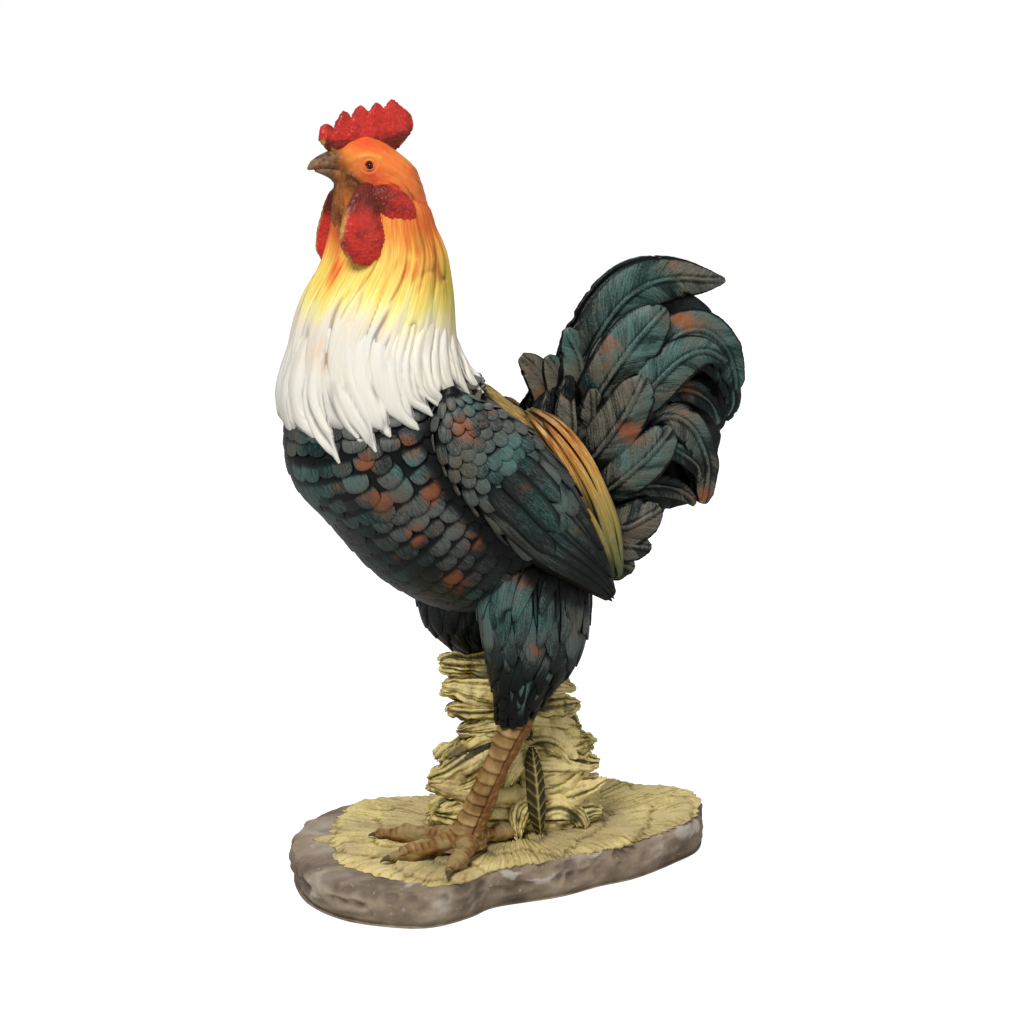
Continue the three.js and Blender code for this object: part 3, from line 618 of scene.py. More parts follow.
foot_finish = Finish("painted_shank")
foot_fine = foot_finish.speckle(520.0, 3.0)
foot_colour = foot_finish.layers(
    foot_finish.ramp(
        foot_finish.mark("low") + foot_finish.fade(foot_finish.speckle(120.0), 0.3, 0.7, -0.1, 0.14),
        (0.05, (0.41, 0.27, 0.108)), (0.3, (0.27, 0.155, 0.050)), (0.6, (0.17, 0.080, 0.02)),
        (0.95, (0.045, 0.020, 0.008))),
    ((0.21, 0.080, 0.018), foot_finish.mark("orange") * 0.8),
    ((0.34, 0.26, 0.11), foot_finish.mark("moss") * 0.7), ((0.045, 0.034, 0.024), foot_finish.mark("claw")))
foot_finish.coat(foot_colour, foot_finish.fade(foot_fine, 0.3, 0.7, 0.42, 0.65), foot_fine, 0.0003)

toe_paths = {
    "middle": [(2, 0, 13, 10), (-26, 4, 12, 9.5), (-50, 5, 9, 7.5), (-62, 6, 7, 3.2), (-66, 6, 4.5, 1.2)],
    "inner": [(2, 0, 13, 10), (-20, -22, 12, 9), (-40, -40, 9, 7), (-51, -49, 7, 3.2), (-55, -52, 4.5, 1.2)],
    "outer": [(2, 0, 13, 10), (-8, 24, 12, 9), (-24, 42, 9, 7), (-31, 52, 7, 3.2), (-34, 56, 4.5, 1.2)],
    "hind": [(-2, 0, 13, 10), (22, -6, 12, 8.5), (42, -12, 9, 6.5), (53, -15, 7, 3.2), (57, -16, 4.5, 1.2)]}


def scutes(along, pitch, seed, skew=0.0):
    """Scutes like roof tiles: 0 in the joints, rising quickly to 1 and falling slowly."""
    place = along / pitch + 0.5 * grain(together(along / 30, 0.5, 0.5), seed) + skew
    part = place - np.floor(place)
    return step(part, 0.0, 0.16) * (1 - 0.55 * part) * step(-part, -1.0, -0.93)


leg_out, right_leg_back, left_foot_x = 37.0, 56.0, -46.0
post_around, toe_around, toe_steps = 96, 52, 84
shank_pitch, toe_pitch = 8.6, 5.4
toe_turn = full_turn(toe_around)[None, :]
for foot, side, shift in (("left_foot", -leg_out, 0.0), ("right_foot", leg_out, right_leg_back)):
    toward = np.sign(side)
    foot_x = left_foot_x + shift
    post = ringed([
        (foot_x - 2, side, 33, 18.5, 15, 0), (foot_x, side, 41, 16.5, 12, 10),
        (-38 + 0.85 * shift, side, 55, 13.6, 10, 15), (-30 + 0.7 * shift, side, 72, 13, 9.8, 20),
        (-17 + 0.5 * shift, side, 97, 13, 9.8, 20), (-4 + 0.3 * shift, side, 121, 14.5, 11.2, 20),
        (4 + 0.3 * shift, side, 140, 9, 8, 20)], count=150, around=post_around)
    turn = full_turn(post_around)[None, :]
    along = distance_along(post)
    facing = turn - np.pi + toward * 0.6
    front = step(np.cos(facing), 0.46, 0.66)
    leg_axis = unit(post[-1].mean(0) - post[0].mean(0))
    plates = scutes(post @ leg_axis + 1.2 * np.cos(2 * facing), shank_pitch, 31)
    pebbles = np.abs(grain(post / 3.4, 32))
    edge = np.exp(-((np.arccos(np.cos(facing)) - 0.98) / 0.08) ** 2)
    rise = front * plates * 1.2 + (1 - front) * pebbles * 1.1 - edge * 0.8 + rough(post, 11.0, 33) * 0.8
    post = post + outward(post) * rise[..., None]
    skins = [(post, {
        "low": np.clip(
            front * (1 - plates) * 0.8 + 0.3 * step(rough(post, 9.0, 38), 0.0, 0.7)
            + (1 - front) * (0.62 - pebbles) + edge * 0.7, 0, 1),
        "orange": (1 - front) * step(post[..., 2], 35, 60) * 0.9,
        "moss": step(-post[..., 2], -52, -34) * 0.5 * step(rough(post, 9.0, 34), -0.1, 0.5), "claw": 0.0})]
    short = 1.0 if toward < 0 else 0.76
    for path in toe_paths.values():
        rows = [
            (foot_x + dx * short, side + toward * dy, z + 27 - 0.18 * h, h * 0.8, h * 0.76)
            for dx, dy, z, h in path]
        toe = swept(rows, (0, 0, 1), toe_steps, toe_turn)
        along = distance_along(toe)
        top = step(np.sin(toe_turn), 0.1, 0.5)
        claw = step(along, along[-1] - 8.5, along[-1] - 6.5)
        plates = scutes(along, toe_pitch, 35, 0.1 * np.cos(toe_turn))
        knuckle = np.sin(along / along[-1] * 2.5 * np.pi) ** 2
        rise = (1 - claw) * (
            top * plates * 0.9 + knuckle * 1.9 + rough(toe, 7.0, 36) * 1.3 - 1.5) - claw * 0.7
        toe = toe + outward(toe) * rise[..., None]
        # The toes are darker underneath, as painted shade.
        skins.append((toe, {
            "low": np.clip((1 - claw) * (
                top * (1 - plates) * 0.75 + 0.25 * (1 - knuckle)
                + step(-np.sin(toe_turn), -0.3, 0.5) * 0.6), 0, 1),
            "orange": 0.25 + 0.5 * step(-along, -30, 0) * np.ones_like(toe_turn),
            "moss": step(rough(toe, 8.0, 37), -0.3, 0.4) * (1 - claw),
            "claw": claw * 0.85 * np.ones_like(toe_turn)}))
    foot_piece = model(foot + "_scutes", skins, foot_finish)
    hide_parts(foot)

# Torso.
# Breast, belly and back in one casting, modelled all over with small rounded feathers that overlap
# like roof tiles. It is painted black, rubbed with grey and teal, and dabbed with rust.


def plumage(name, ground=(0.012, 0.015, 0.014), worn=(0.112, 0.108, 0.096), wash_and_shade=(0.001, 0.0015, 0.0015)):
    """Painted feathers: a dark ground rubbed paler on the ridges, tinted teal in places, dabbed with
    rust, flecked with pale grey as painted highlights, and black in the hollows, partly as a dark
    wash and partly as painted shade."""
    finish = Finish(name)
    low, tone = finish.mark("low"), finish.mark("tone")
    patch = finish.speckle(75.0, 3.0)
    cloud = finish.speckle(26.0, 2.0)
    barbs = finish.hairs(finish.mark("across") * 1.5, finish.mark("along") * 0.13, tone * 9.0)
    grit = finish.speckle(850.0, 2.0)
    tint = finish.fade(finish.mark("teal") + patch * 0.4 + cloud * 0.5, 0.5, 1.1, 0.12, 0.9)
    ground = finish.over(ground, (0.004, 0.024, 0.021), tint)
    worn = finish.over(worn, (0.078, 0.166, 0.150), tint)
    rubbed = barbs * 0.75 + 0.12 + tone * 0.3 + cloud * 0.55 + finish.fade(
        grit, 0.4, 0.7, 0.0, 0.12) - low * 0.8
    colour = finish.layers(
        finish.over(ground, worn, finish.fade(rubbed, 0.60, 1.14)),
        ((0.090, 0.056, 0.030), finish.fade(cloud + patch * 0.3 - low * 0.3, 0.62, 0.88, 0.0, 0.7)),
        ((0.27, 0.078, 0.024), finish.fade(
            finish.mark("rust") + finish.speckle(170.0) * 0.6 + patch * 1.1 + barbs * 0.3 - low * 0.5, 1.2,
            1.85, 0.0, 0.8)),
        # Pale grey specks, fewer in the hollows: a painted highlight.
        ((0.20, 0.19, 0.16), finish.fade(grit + cloud * 0.5 - low * 0.6, 0.78, 0.98, 0.0, 0.35)),
        # Black in the hollows: partly a dark wash, partly painted shade.
        (wash_and_shade, finish.fade(low - barbs * 0.12, 0.12, 0.6, 0.0, 0.97)))
    finish.coat(colour, finish.fade(grit, 0.3, 0.7, 0.32, 0.5), barbs * 0.7 + grit * 0.5, 0.0007)
    return finish


def spindle(along, grow, start, power):
    """The width of a strand along it: sin(pi (start + grow * along)) to a power."""
    return np.sin(np.clip(along * grow + start, 0, 1) * np.pi) ** power


class Host:
    """A surface that feathers are laid on, read at any row and at any part of a full turn."""

    def __init__(self, grid, last_row):
        self.grid, self.normal = grid, outward(grid)
        self.step = (len(grid) - 1) / last_row

    def at(self, row, turn):
        """The point and the normal there, blended between the four grid points around it."""
        rows, around = self.grid.shape[:2]
        row, turn = np.broadcast_arrays(row, turn)
        u = np.clip(row * self.step, 0, rows - 1.001)
        v = (turn % 1) * around
        i, j = u.astype(int), v.astype(int) % around
        s, t = (u - i)[..., None], (v - np.floor(v))[..., None]
        k = (j + 1) % around
        return tuple(
            (g[i, j] * (1 - t) + g[i, k] * t) * (1 - s) + (g[i + 1, j] * (1 - t) + g[i + 1, k] * t) * s
            for g in (self.grid, self.normal))

    def girth(self, row):
        """The length round the surface at a row."""
        ring = self.at(row, np.linspace(0, 1, 73))[0]
        return np.linalg.norm(np.diff(ring, axis=0), axis=1).sum()


lens_section = (
    (-1, -0.3), (-0.96, 0.3), (-0.86, 0.62), (-0.45, 0.92), (0, 1), (0.45, 0.92), (0.86, 0.62), (0.96, 0.3),
    (1, -0.3), (0.5, -1), (-0.5, -1))


def feathers(host, row, turn, half, lift, thick, section=lens_section):
    """Closed feathers laid on a surface. Each follows its own line of rows and turns. Its section
    is half the feather's width across the line, and lift + thick * section height off the surface."""
    nudge, most_rows, most_turn = 0.004, 0.28, 0.04
    point = host.at(row, turn)[0]
    by_row = (host.at(row + nudge, turn)[0] - host.at(row - nudge, turn)[0]) / (2 * nudge)
    by_turn = (host.at(row, turn + nudge)[0] - host.at(row, turn - nudge)[0]) / (2 * nudge)
    normal = host.at(row, turn)[1]
    across = unit(np.cross(normal, np.gradient(point, axis=1)))
    a, b, c = (np.sum(p * q, -1) for p, q in ((by_row, by_row), (by_row, by_turn), (by_turn, by_turn)))
    r, t = np.sum(by_row * across, -1), np.sum(by_turn * across, -1)
    size = np.maximum(a * c - b * b, 1e-6)
    to_row, to_turn = (c * r - b * t) / size, (a * t - b * r) / size
    wide, high = np.array(section, float).T
    off = half[..., None] * wide
    spot, normal = host.at(
        row[..., None] + np.clip(to_row[..., None] * off, -most_rows, most_rows),
        turn[..., None] + np.clip(to_turn[..., None] * off, -most_turn, most_turn))
    return spot + normal * (lift[..., None] + thick[..., None] * high)[..., None], wide, off


def to_left(points):
    """Points of both sides brought to the left one, where y is negative, so both are painted alike."""
    return points * (1, 0, 1) - np.abs(points * (0, 1, 0))


def daubs(points, places):
    """Daubs of paint on both sides, in places given as x, y, z, radius and strength: the largest of
    strength * exp(-(distance / radius)^2)."""
    folded = to_left(points)
    most = np.zeros(points.shape[:-1])
    for x, y, z, radius, strength in places:
        away = np.sum((folded - (x, y, z)) ** 2, -1) / radius**2
        most = np.maximum(most, strength * np.exp(-away))
    return most


def near_line(points, line, radius):
    """How near points are to a line through given places, on both sides: exp(-(distance / radius)^2)."""
    folded = to_left(points)
    spots = along_rows(line, np.linspace(0, len(line) - 1, 14 * len(line)))
    least = np.full(points.shape[:-1], 1e9)
    for spot in spots:
        least = np.minimum(least, np.sum((folded - spot) ** 2, -1))
    return np.exp(-least / radius**2)


body_rust = [
    (-125, -61, 324, 9, 0.9), (-112, -58, 295, 11, 1.0), (-96, -70, 336, 10, 0.8), (-81, -71, 305, 12, 1.0),
    (-140, -44, 307, 8, 0.6), (-130, -21, 273, 9, 0.55), (-88, -60, 270, 11, 0.8), (-48, -68, 267, 12, 0.8),
    (-57, -53, 236, 15, 1.0), (-111, -48, 276, 9, 0.5), (-97, -41, 250, 12, 0.55), (-53, -20, 210, 14, 0.6),
    (-8, -60, 233, 14, 0.8), (-3, -62, 182, 10, 0.6), (-20, -46, 157, 7, 0.55), (25, -62, 186, 9, 0.4)]
body_teal = [
    (-153, -30, 313, 24, 1.0), (-131, -55, 313, 10, 0.6), (-99, -69, 320, 11, 1.0), (-88, -70, 309, 10, 0.7),
    (-19, -41, 215, 20, 1.0), (-97, -32, 242, 22, 0.8), (-34, -42, 216, 22, 0.7), (-83, -53, 252, 13, 0.6),
    (-120, -44, 281, 15, 0.7), (-145, -20, 290, 22, 0.7), (-15, -59, 219, 12, 1.0), (-20, -56, 203, 13, 1.0),
    (1, -64, 204, 12, 0.6), (-9, -54, 151, 12, 0.8), (0, -20, 235, 30, 0.4)]


def coat_marks(points, low, tone, across, along, rust=body_rust, teal=body_teal):
    """The marks that painted feathers need: how low a place lies between feathers, each feather's own
    tone, the distances across and along it in mm, and the daubs of rust and teal."""
    return {
        "low": low, "tone": tone, "across": across, "along": along, "rust": daubs(points, rust),
        "teal": daubs(points, teal)}


torso_finish = plumage("painted_body")
torso_rows = [
    (-93, 0, 432, 37, 37, 0), (-94, 0, 415, 40, 39, 0), (-97, 0, 385, 54, 50.7, 4),
    (-93, 0, 351, 71, 67.7, 17), (-88, 0, 334, 75.5, 70.6, 28), (-75.5, 0, 319, 74, 72, 41),
    (-47.5, 0, 289, 77, 71.3, 57), (-8, 0, 265, 73, 64.1, 62), (28.5, 0, 249.5, 53, 48.2, 62),
    (54, 0, 241, 29, 28, 62), (66, 0, 236, 10, 10, 62)]
torso_host = Host(ringed(torso_rows, count=260, around=400), last_row=10)
wing_rows = [
    (-66, -62, 372, 6, 8), (-59, -70, 348, 23, 12), (-40, -75, 324, 31, 14), (-12, -75, 294, 32, 14),
    (15, -68, 262, 27, 13), (40, -62, 236, 17, 10), (59, -57, 214, 6, 5)]
wing_turn = full_turn(200)[None, :]
wing_host = Host(swept(wing_rows, (0, -1, 0), 260, wing_turn), last_row=6)
wing_crease = wing_host.at(np.linspace(0.2, 5.9, 9), 0.5)[0] + (0, 3.0, 0)
torso_skin = torso_host.grid[::2, ::2]
torso_lumps = rough(torso_skin, 30.0, 41)
torso_skin = torso_skin + torso_host.normal[::2, ::2] * (torso_lumps * 0.9 - 0.2)[..., None]
rng = np.random.default_rng(7)
first_ring, last_ring, ring_step = 2.75, 9.8, 0.235
scale_pitch, least_gap, fewest_scales = 14.2, 10.0, 9
scale_length, scale_width = 18.5, 8.7
centres = np.zeros((0, 2))
for k, ring in enumerate(np.arange(first_ring, last_ring, ring_step)):
    count = max(fewest_scales, int(torso_host.girth(ring) / scale_pitch))
    for spot in (np.arange(count) + 0.5 * (k % 2)) / count:
        near = torso_host.at(centres[-120:, 0], centres[-120:, 1])[0] - torso_host.at(ring, spot)[0]
        if len(near) == 0 or np.min(np.sum(near**2, -1)) > least_gap**2:
            centres = np.vstack([centres, (ring, spot)])
many = len(centres)
row_length = np.linalg.norm(
    torso_host.at(centres[:, 0] + 0.1, centres[:, 1])[0]
    - torso_host.at(centres[:, 0] - 0.1, centres[:, 1])[0], axis=1) / 0.2
from_front = np.abs(centres[:, 1] - 0.5)
size = rng.uniform(0.86, 1.25, many)
faint = 1 - 0.72 * step(-from_front, -0.155, -0.105)
scale_s = np.array([0.0, 0.3, 0.55, 0.74, 0.88, 0.965, 1.0])
scale_shape = np.array([0.7, 0.95, 1.0, 0.97, 0.83, 0.55, 0.2])
scale_row = centres[:, :1] + (scale_s - 0.5) * (scale_length * size / np.maximum(row_length, 16))[:, None]
twist = rng.normal(0, 0.10, (many, 1))
scale_turn = centres[:, 1:2] + rng.normal(0, 0.0022, (many, 1)) + (scale_s - 0.5) * twist * 0.035
scale_half = scale_width * size[:, None] * scale_shape
scale_lift = (faint * rng.uniform(0.8, 1.2, many))[:, None] * np.array(
    [-2.8, -1.5, -0.1, 0.8, 1.35, 1.6, 1.6])
scale_thick = faint[:, None] * np.array([0.5, 1.1, 1.35, 1.35, 1.2, 1.0, 0.6]) + 0.15
scale_grid, wide, off = feathers(torso_host, scale_row, scale_turn, scale_half, scale_lift, scale_thick)
# Painted shade: the lower breast is darker, and so is each scale's root and rim where others overlap it.
scale_shade = 0.27 * step(-scale_grid[..., 2], -290, -245)
scale_rim = 0.8 * (np.abs(wide) > 0.95) * (1 - 0.3 * step(scale_s, 0.8, 0.95))[:, None]
scale_low = scale_shade + step(-scale_s, -0.52, -0.3)[:, None] * 0.85 + scale_rim
# A band painted as the wing's shadow on the body below its lower edge.
wing_shadow = near_line(scale_grid, wing_crease, 10.0)
scale_tone = np.broadcast_to(rng.uniform(0, 1, (many, 1, 1)), scale_grid.shape[:-1])
# The skin between the scales is painted dark as the shade between them.
torso_piece = model("body_feathers", [
    (torso_skin, coat_marks(torso_skin, 0.55 + 0.3 * step(-torso_lumps, -0.2, 0.8), 0.3, 0.0, 0.0)),
    (scale_grid, coat_marks(
        scale_grid,
        np.clip(
            scale_low * (0.35 + 0.65 * faint[:, None, None]) + 1.1 * wing_shadow
            + 0.34 * (1 - faint[:, None, None]), 0, 1), scale_tone,
        off * (1.25 - 0.4 * scale_s[:, None]), (scale_s * 20)[:, None]))], torso_finish)
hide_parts("torso")

# Thighs.
# Drumsticks cast in one with the body, covered in soft folds of long downy feathers that run down
# to a cuff above the shank. They are painted like the body, with more teal.

thigh_finish = plumage("painted_thigh", (0.007, 0.012, 0.011), (0.105, 0.130, 0.120))
thigh_rows = {
    "left_thigh": [
        (10, -37, 242, 38, 24, 0), (9, -37, 210, 41, 28, 0), (10, -37, 178, 36, 26, 4),
        (7, -37, 156, 29, 21, 8), (0, -37, 138, 19, 15, 14), (-4, -37, 127, 14.5, 12.4, 17),
        (-5, -37, 124, 12, 11, 18)],
    "right_thigh": [
        (-12, 37, 242, 38, 24, 0), (-12, 37, 210, 40, 28, 0), (-10, 37, 185, 37, 27, 0),
        (-5, 37, 173, 33, 25, 2), (3, 37, 162, 27, 22, 4), (7, 37, 152, 22, 19, 8), (11, 37, 140, 18, 15, 14),
        (12, 37, 126, 14, 12, 18), (12, 37, 124, 12, 11, 18)]}
thigh_steps, thigh_around = 170, 200
tuft_pitch, tuft_length, tuft_width, thigh_height = 15.0, 30.0, 6.2, 120.0
for node, rows in thigh_rows.items():
    grid = ringed(rows, thigh_steps, thigh_around)
    turn = full_turn(thigh_around)[None, :]
    down = np.linspace(0, 1, thigh_steps)[:, None]
    flow = turn + 0.22 * np.sin(down * 3.2) + 0.10 * grain(
        together(down * 2, np.cos(turn) * 1.5, np.sin(turn) * 1.5), 51)
    folds = around_noise(flow, 2.3, 52, down * 1.1)
    locks = around_noise(flow, 5.5, 53, down * 1.8)
    fine = around_noise(flow, 15.0, 55, down * 3.5)
    clefts = np.exp(-(locks / 0.10) ** 2) * step(grain(grid / 22.0, 54), -0.1, 0.5)
    rise = folds * 3.0 + locks * 2.2 - clefts * 1.4 + fine * 0.6
    cuff = np.exp(-((down - 0.93) / 0.02) ** 2)
    grid = grid + outward(grid) * (
        rise * step(-down, -0.99, -0.9) * step(down, 0.0, 0.1) + cuff * 0.8)[..., None]
    low = np.clip(
        clefts * 0.8 + step(-locks, -0.1, 0.7) * 0.65 + step(-fine, 0.1, 0.9) * 0.2
        + step(down, 0.55, 0.9) * 0.6 + 0.55 * step(rough(grid, 26.0, 56), 0.05, 0.6), 0, 1)
    # Painted shade: the right thigh is darker all over, and a band under the wing's edge is its shadow.
    shade = 0.36 if node == "right_thigh" else 0.12
    low = np.clip(low * 1.1 + shade + 1.1 * near_line(grid, wing_crease, 10.0), 0, 1)
    skins = [(grid, coat_marks(grid, low, 0.4 + 0.5 * locks, flow * 30, down * 130))]
    thigh_host = Host(ringed(rows, count=120, around=160), len(rows) - 1)
    tufts = []
    for k, ring in enumerate(np.linspace(0.15, len(rows) - 3.0, 9)):
        count = int(thigh_host.girth(ring) / tuft_pitch)
        tufts += [(ring, (spot + 0.5 * (k % 2)) / count) for spot in range(count)]
    tufts = np.array(tufts) + rng.normal(0, 0.008, (len(tufts), 2))
    long = rng.uniform(0.8, 1.3, (len(tufts), 1))
    tuft_s = np.linspace(0, 1, 10)[None, :]
    tuft_row = tufts[:, :1] + (tuft_s - 0.3) * tuft_length * long / (thigh_height / (len(rows) - 1))
    tuft_sway = 0.018 * np.sin(tuft_s * 3.5 + tufts[:, :1] * 9)
    tuft_turn = tufts[:, 1:] + tuft_sway + 0.035 * tuft_s * np.sin(2 * np.pi * tufts[:, 1:])
    tuft_half = tuft_width * long * spindle(tuft_s, 0.92, 0.05, 0.6) + 0.2
    tuft_grid, wide, off = feathers(
        thigh_host, tuft_row, tuft_turn, tuft_half, -1.6 + 3.4 * tuft_s * np.ones_like(long),
        1.6 * np.ones_like(tuft_half))
    # Tufts are dark at rims and roots where they overlap, as painted shade, and darker lower down.
    tuft_low = np.clip(
        0.6 * (np.abs(wide) > 0.9) + (0.75 * step(-tuft_s, -0.45, -0.05))[..., None]
        + 0.6 * step(-tuft_grid[..., 2], -185, -138), 0, 1)
    tuft_low = np.clip(tuft_low * 1.1 + shade + 1.1 * near_line(tuft_grid, wing_crease, 10.0), 0, 1)
    skins.append((tuft_grid, coat_marks(
        tuft_grid, tuft_low, rng.uniform(0, 1, (len(tufts), 1, 1)), off * 1.2, (tuft_s * 34)[..., None])))
    thigh_piece = model(node + "_down", skins, thigh_finish)
    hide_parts(node)

# Wings.
# Both wings are modelled folded against the flanks: small rounded feathers on the shoulder, broad
# smooth coverts behind them, and long flight feathers that close to a point.

wing_finish = plumage("painted_wing", (0.010, 0.013, 0.012), (0.098, 0.100, 0.088))
wing_rust = [
    (-62, -83, 345, 11, 0.9), (-41, -79, 355, 8, 0.6), (-24, -90, 305, 8, 0.8), (52, -64, 221, 7, 0.55),
    (20, -79, 270, 9, 0.5), (-51, -82, 352, 8, 0.4), (28, -76, 268, 7, 0.6)]
wing_teal = [
    (-27, -88, 327, 14, 1.0), (-5, -88, 288, 20, 1.0), (-55, -76, 364, 14, 0.5), (-40, -89, 319, 16, 0.6),
    (-50, -80, 325, 12, 0.6), (10, -80, 268, 20, 0.5)]
wing_skin = wing_host.grid[::2, ::2] - wing_host.normal[::2, ::2] * 0.5
rng = np.random.default_rng(11)
quill_section = (
    (-1, 0), (-0.72, 0.62), (-0.35, 0.9), (-0.1, 0.96), (0, 1.35), (0.1, 0.96), (0.35, 0.9), (0.72, 0.62),
    (1, 0), (0.6, -0.9), (0, -1), (-0.6, -0.9))


def wing_spot(across):
    """The part of a full turn at a place across the outer face, from -1 at the lower edge to 1."""
    return np.arccos(np.clip(across, -1, 1)) / (2 * np.pi)


wing_skins = [(wing_skin, coat_marks(wing_skin, 0.8, 0.2, 0.0, 0.0, wing_rust, wing_teal))]
covert_rows = np.concatenate([np.arange(0.42, 2.5, ring_step), [2.62, 2.92, 3.25]])
spots = []
for k, row in enumerate(covert_rows):
    count = 6 if row < 0.9 else 7 if row < 2.5 else 5
    across = np.linspace(-0.97, 0.97, count) + (0.5 * (k % 2) - 0.25) * 2 / count
    spots.append(np.stack([
        np.full(count, row), across, np.full(count, ring_step if row < 2.5 else 0.42),
        np.full(count, 2.0 / count)], 1))
spots = np.concatenate(spots)
many = len(spots)
size = rng.uniform(0.88, 1.18, many)[:, None]
width = along_rows(wing_rows, spots[:, 0])[:, 3:4] * spots[:, 3:] * 0.7
covert_row = spots[:, :1] + rng.normal(0, 0.02, (many, 1)) + (scale_s - 0.5) * spots[:, 2:3] * 2.3 * size
covert_across = spots[:, 1:2] + (scale_s - 0.5) * 0.10 * spots[:, 1:2]
covert_half = width * size * scale_shape + 0.2
covert_lift = np.array([-2.6, -1.2, 0.2, 1.1, 1.6, 1.8, 1.8]) * np.ones((many, 1))
covert_thick = np.array([0.6, 1.1, 1.4, 1.4, 1.25, 1.0, 0.6]) * np.ones((many, 1))
covert_grid, wide, off = feathers(
    wing_host, covert_row, wing_spot(covert_across), covert_half, covert_lift, covert_thick)
# Roots and rims are dark where the feathers overlap: partly a dark wash, partly painted shade.
covert_low = step(-scale_s, -0.52, -0.3)[:, None] * 0.85 + 0.8 * (np.abs(wide) > 0.95)
wing_skins.append((covert_grid, coat_marks(
    covert_grid, np.clip(covert_low, 0, 1), rng.uniform(0, 1, (many, 1, 1)),
    off * (1.25 - 0.4 * scale_s[:, None]), (scale_s * 20)[:, None], wing_rust, wing_teal)))
long_wing_feathers = [
    (2.3, 5.96, 4.4, -0.84, -0.34, 7.4), (2.5, 5.98, 3.4, -0.58, -0.06, 7.0),
    (2.7, 5.88, 2.4, -0.32, 0.20, 6.8), (2.8, 5.68, 1.6, -0.06, 0.42, 6.2), (2.8, 5.4, 2.4, 0.18, 0.58, 5.6),
    (2.7, 5.1, 1.3, 0.40, 0.70, 5.0), (2.5, 4.8, 2.2, 0.60, 0.80, 4.5), (2.2, 4.4, 1.2, 0.74, 0.86, 4.0),
    (1.9, 4.1, 2.0, 0.85, 0.92, 3.6), (1.6, 3.8, 1.1, 0.93, 0.97, 3.2), (2.2, 3.9, 5.6, -0.52, -0.44, 9.5),
    (2.2, 3.55, 6.4, -0.08, -0.04, 11.0), (2.2, 3.25, 5.0, 0.34, 0.40, 8.5)]
long_s = np.concatenate([np.linspace(0, 0.86, 22), [0.9, 0.94, 0.97, 0.99, 1.0]])
start, stop, height, from_across, to_across, half = np.array(long_wing_feathers).T[..., None]
long_row = start + (stop - start) * long_s
long_across = from_across + (to_across - from_across) * long_s**1.2
long_tip = np.sqrt(np.clip(1 - ((long_s - 0.72) / 0.282).clip(0) ** 2, 0.01, 1))
long_half = half * np.clip(0.75 + 0.5 * np.sin(long_s * 2.6), 0, 1.2) * long_tip
long_half = long_half * (1 - 0.25 * step(long_s, 0.4, 1.0))
long_half = long_half * np.clip(along_rows(wing_rows, long_row)[..., 3] / 22, 0.2, 1)
long_lift = (height - 1.2) * step(long_s, 0.0, 0.25) - 1.2
long_thick = np.full(long_row.shape, 2.2) * np.clip(1.05 - long_s, 0.25, 1) ** 0.3
long_grid, wide, off = feathers(
    wing_host, long_row, wing_spot(long_across), long_half, long_lift, long_thick, quill_section)
long_low = 0.95 * step(np.abs(wide), 0.6, 0.9) + 0.5 * step(-long_s, -0.2, 0.0)[:, None] + (
    0.10 + 0.40 * step(long_row, 3.4, 5.0))[..., None]
long_tone = rng.uniform(0, 0.7, (len(start), 1, 1))
wing_skins.append((long_grid, coat_marks(
    long_grid, np.clip(long_low, 0, 1), long_tone, off * 0.8, (long_s * 90)[:, None], wing_rust, wing_teal)))


def mirrored(skins, mirror):
    """The same skins on a side of the bird: mirror is 1 on the left and -1 on the right."""
    return [(grid * (1, mirror, 1), marks) for grid, marks in skins]


both_sides = {"left": 1.0, "right": -1.0}
for side, mirror in both_sides.items():
    node = f"{side}_wing"
    wing_piece = model(node + "_feathers", mirrored(wing_skins, mirror), wing_finish)
    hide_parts(node)

# Saddle feathers.
# Long narrow strands that fall from the back behind each wing, cast in one with the body. They are
# painted gold over orange and go yellow-green towards their tips. The pale gold streaks are partly a
# painted highlight, and the clefts between strands are dark partly with painted shade.

saddle_finish = Finish("painted_saddle")
saddle_low, saddle_far = saddle_finish.mark("low"), saddle_finish.mark("far")
saddle_hairs = saddle_finish.hairs(saddle_finish.mark("across") * 1.6, saddle_finish.mark("along") * 0.07)
saddle_colour = saddle_finish.layers(
    saddle_finish.ramp(
        saddle_far + saddle_finish.fade(saddle_hairs, 0.3, 0.7, -0.1, 0.1), (0.0, (0.25, 0.18, 0.050)),
        (0.12, (0.30, 0.095, 0.020)), (0.3, (0.52, 0.185, 0.036)), (0.42, (0.50, 0.27, 0.06)),
        (0.6, (0.36, 0.29, 0.085)), (0.84, (0.11, 0.14, 0.055))),
    # Pale gold streaks, fewer down the strands: partly gold paint, partly painted highlight.
    ((0.78, 0.60, 0.22),
     saddle_finish.fade(saddle_hairs - saddle_low * 0.3 - saddle_far * 0.25, 0.38, 0.64, 0.0, 0.8)),
    # Dark in the clefts between strands: partly a dark wash, partly painted shade.
    ((0.03, 0.018, 0.006), saddle_finish.fade(saddle_low, 0.1, 0.62, 0.0, 0.95)),
    ((0.012, 0.02, 0.014), saddle_finish.mark("dark")))
saddle_finish.coat(
    saddle_colour, saddle_finish.fade(saddle_hairs, 0.3, 0.7, 0.35, 0.55), saddle_hairs, 0.0006)

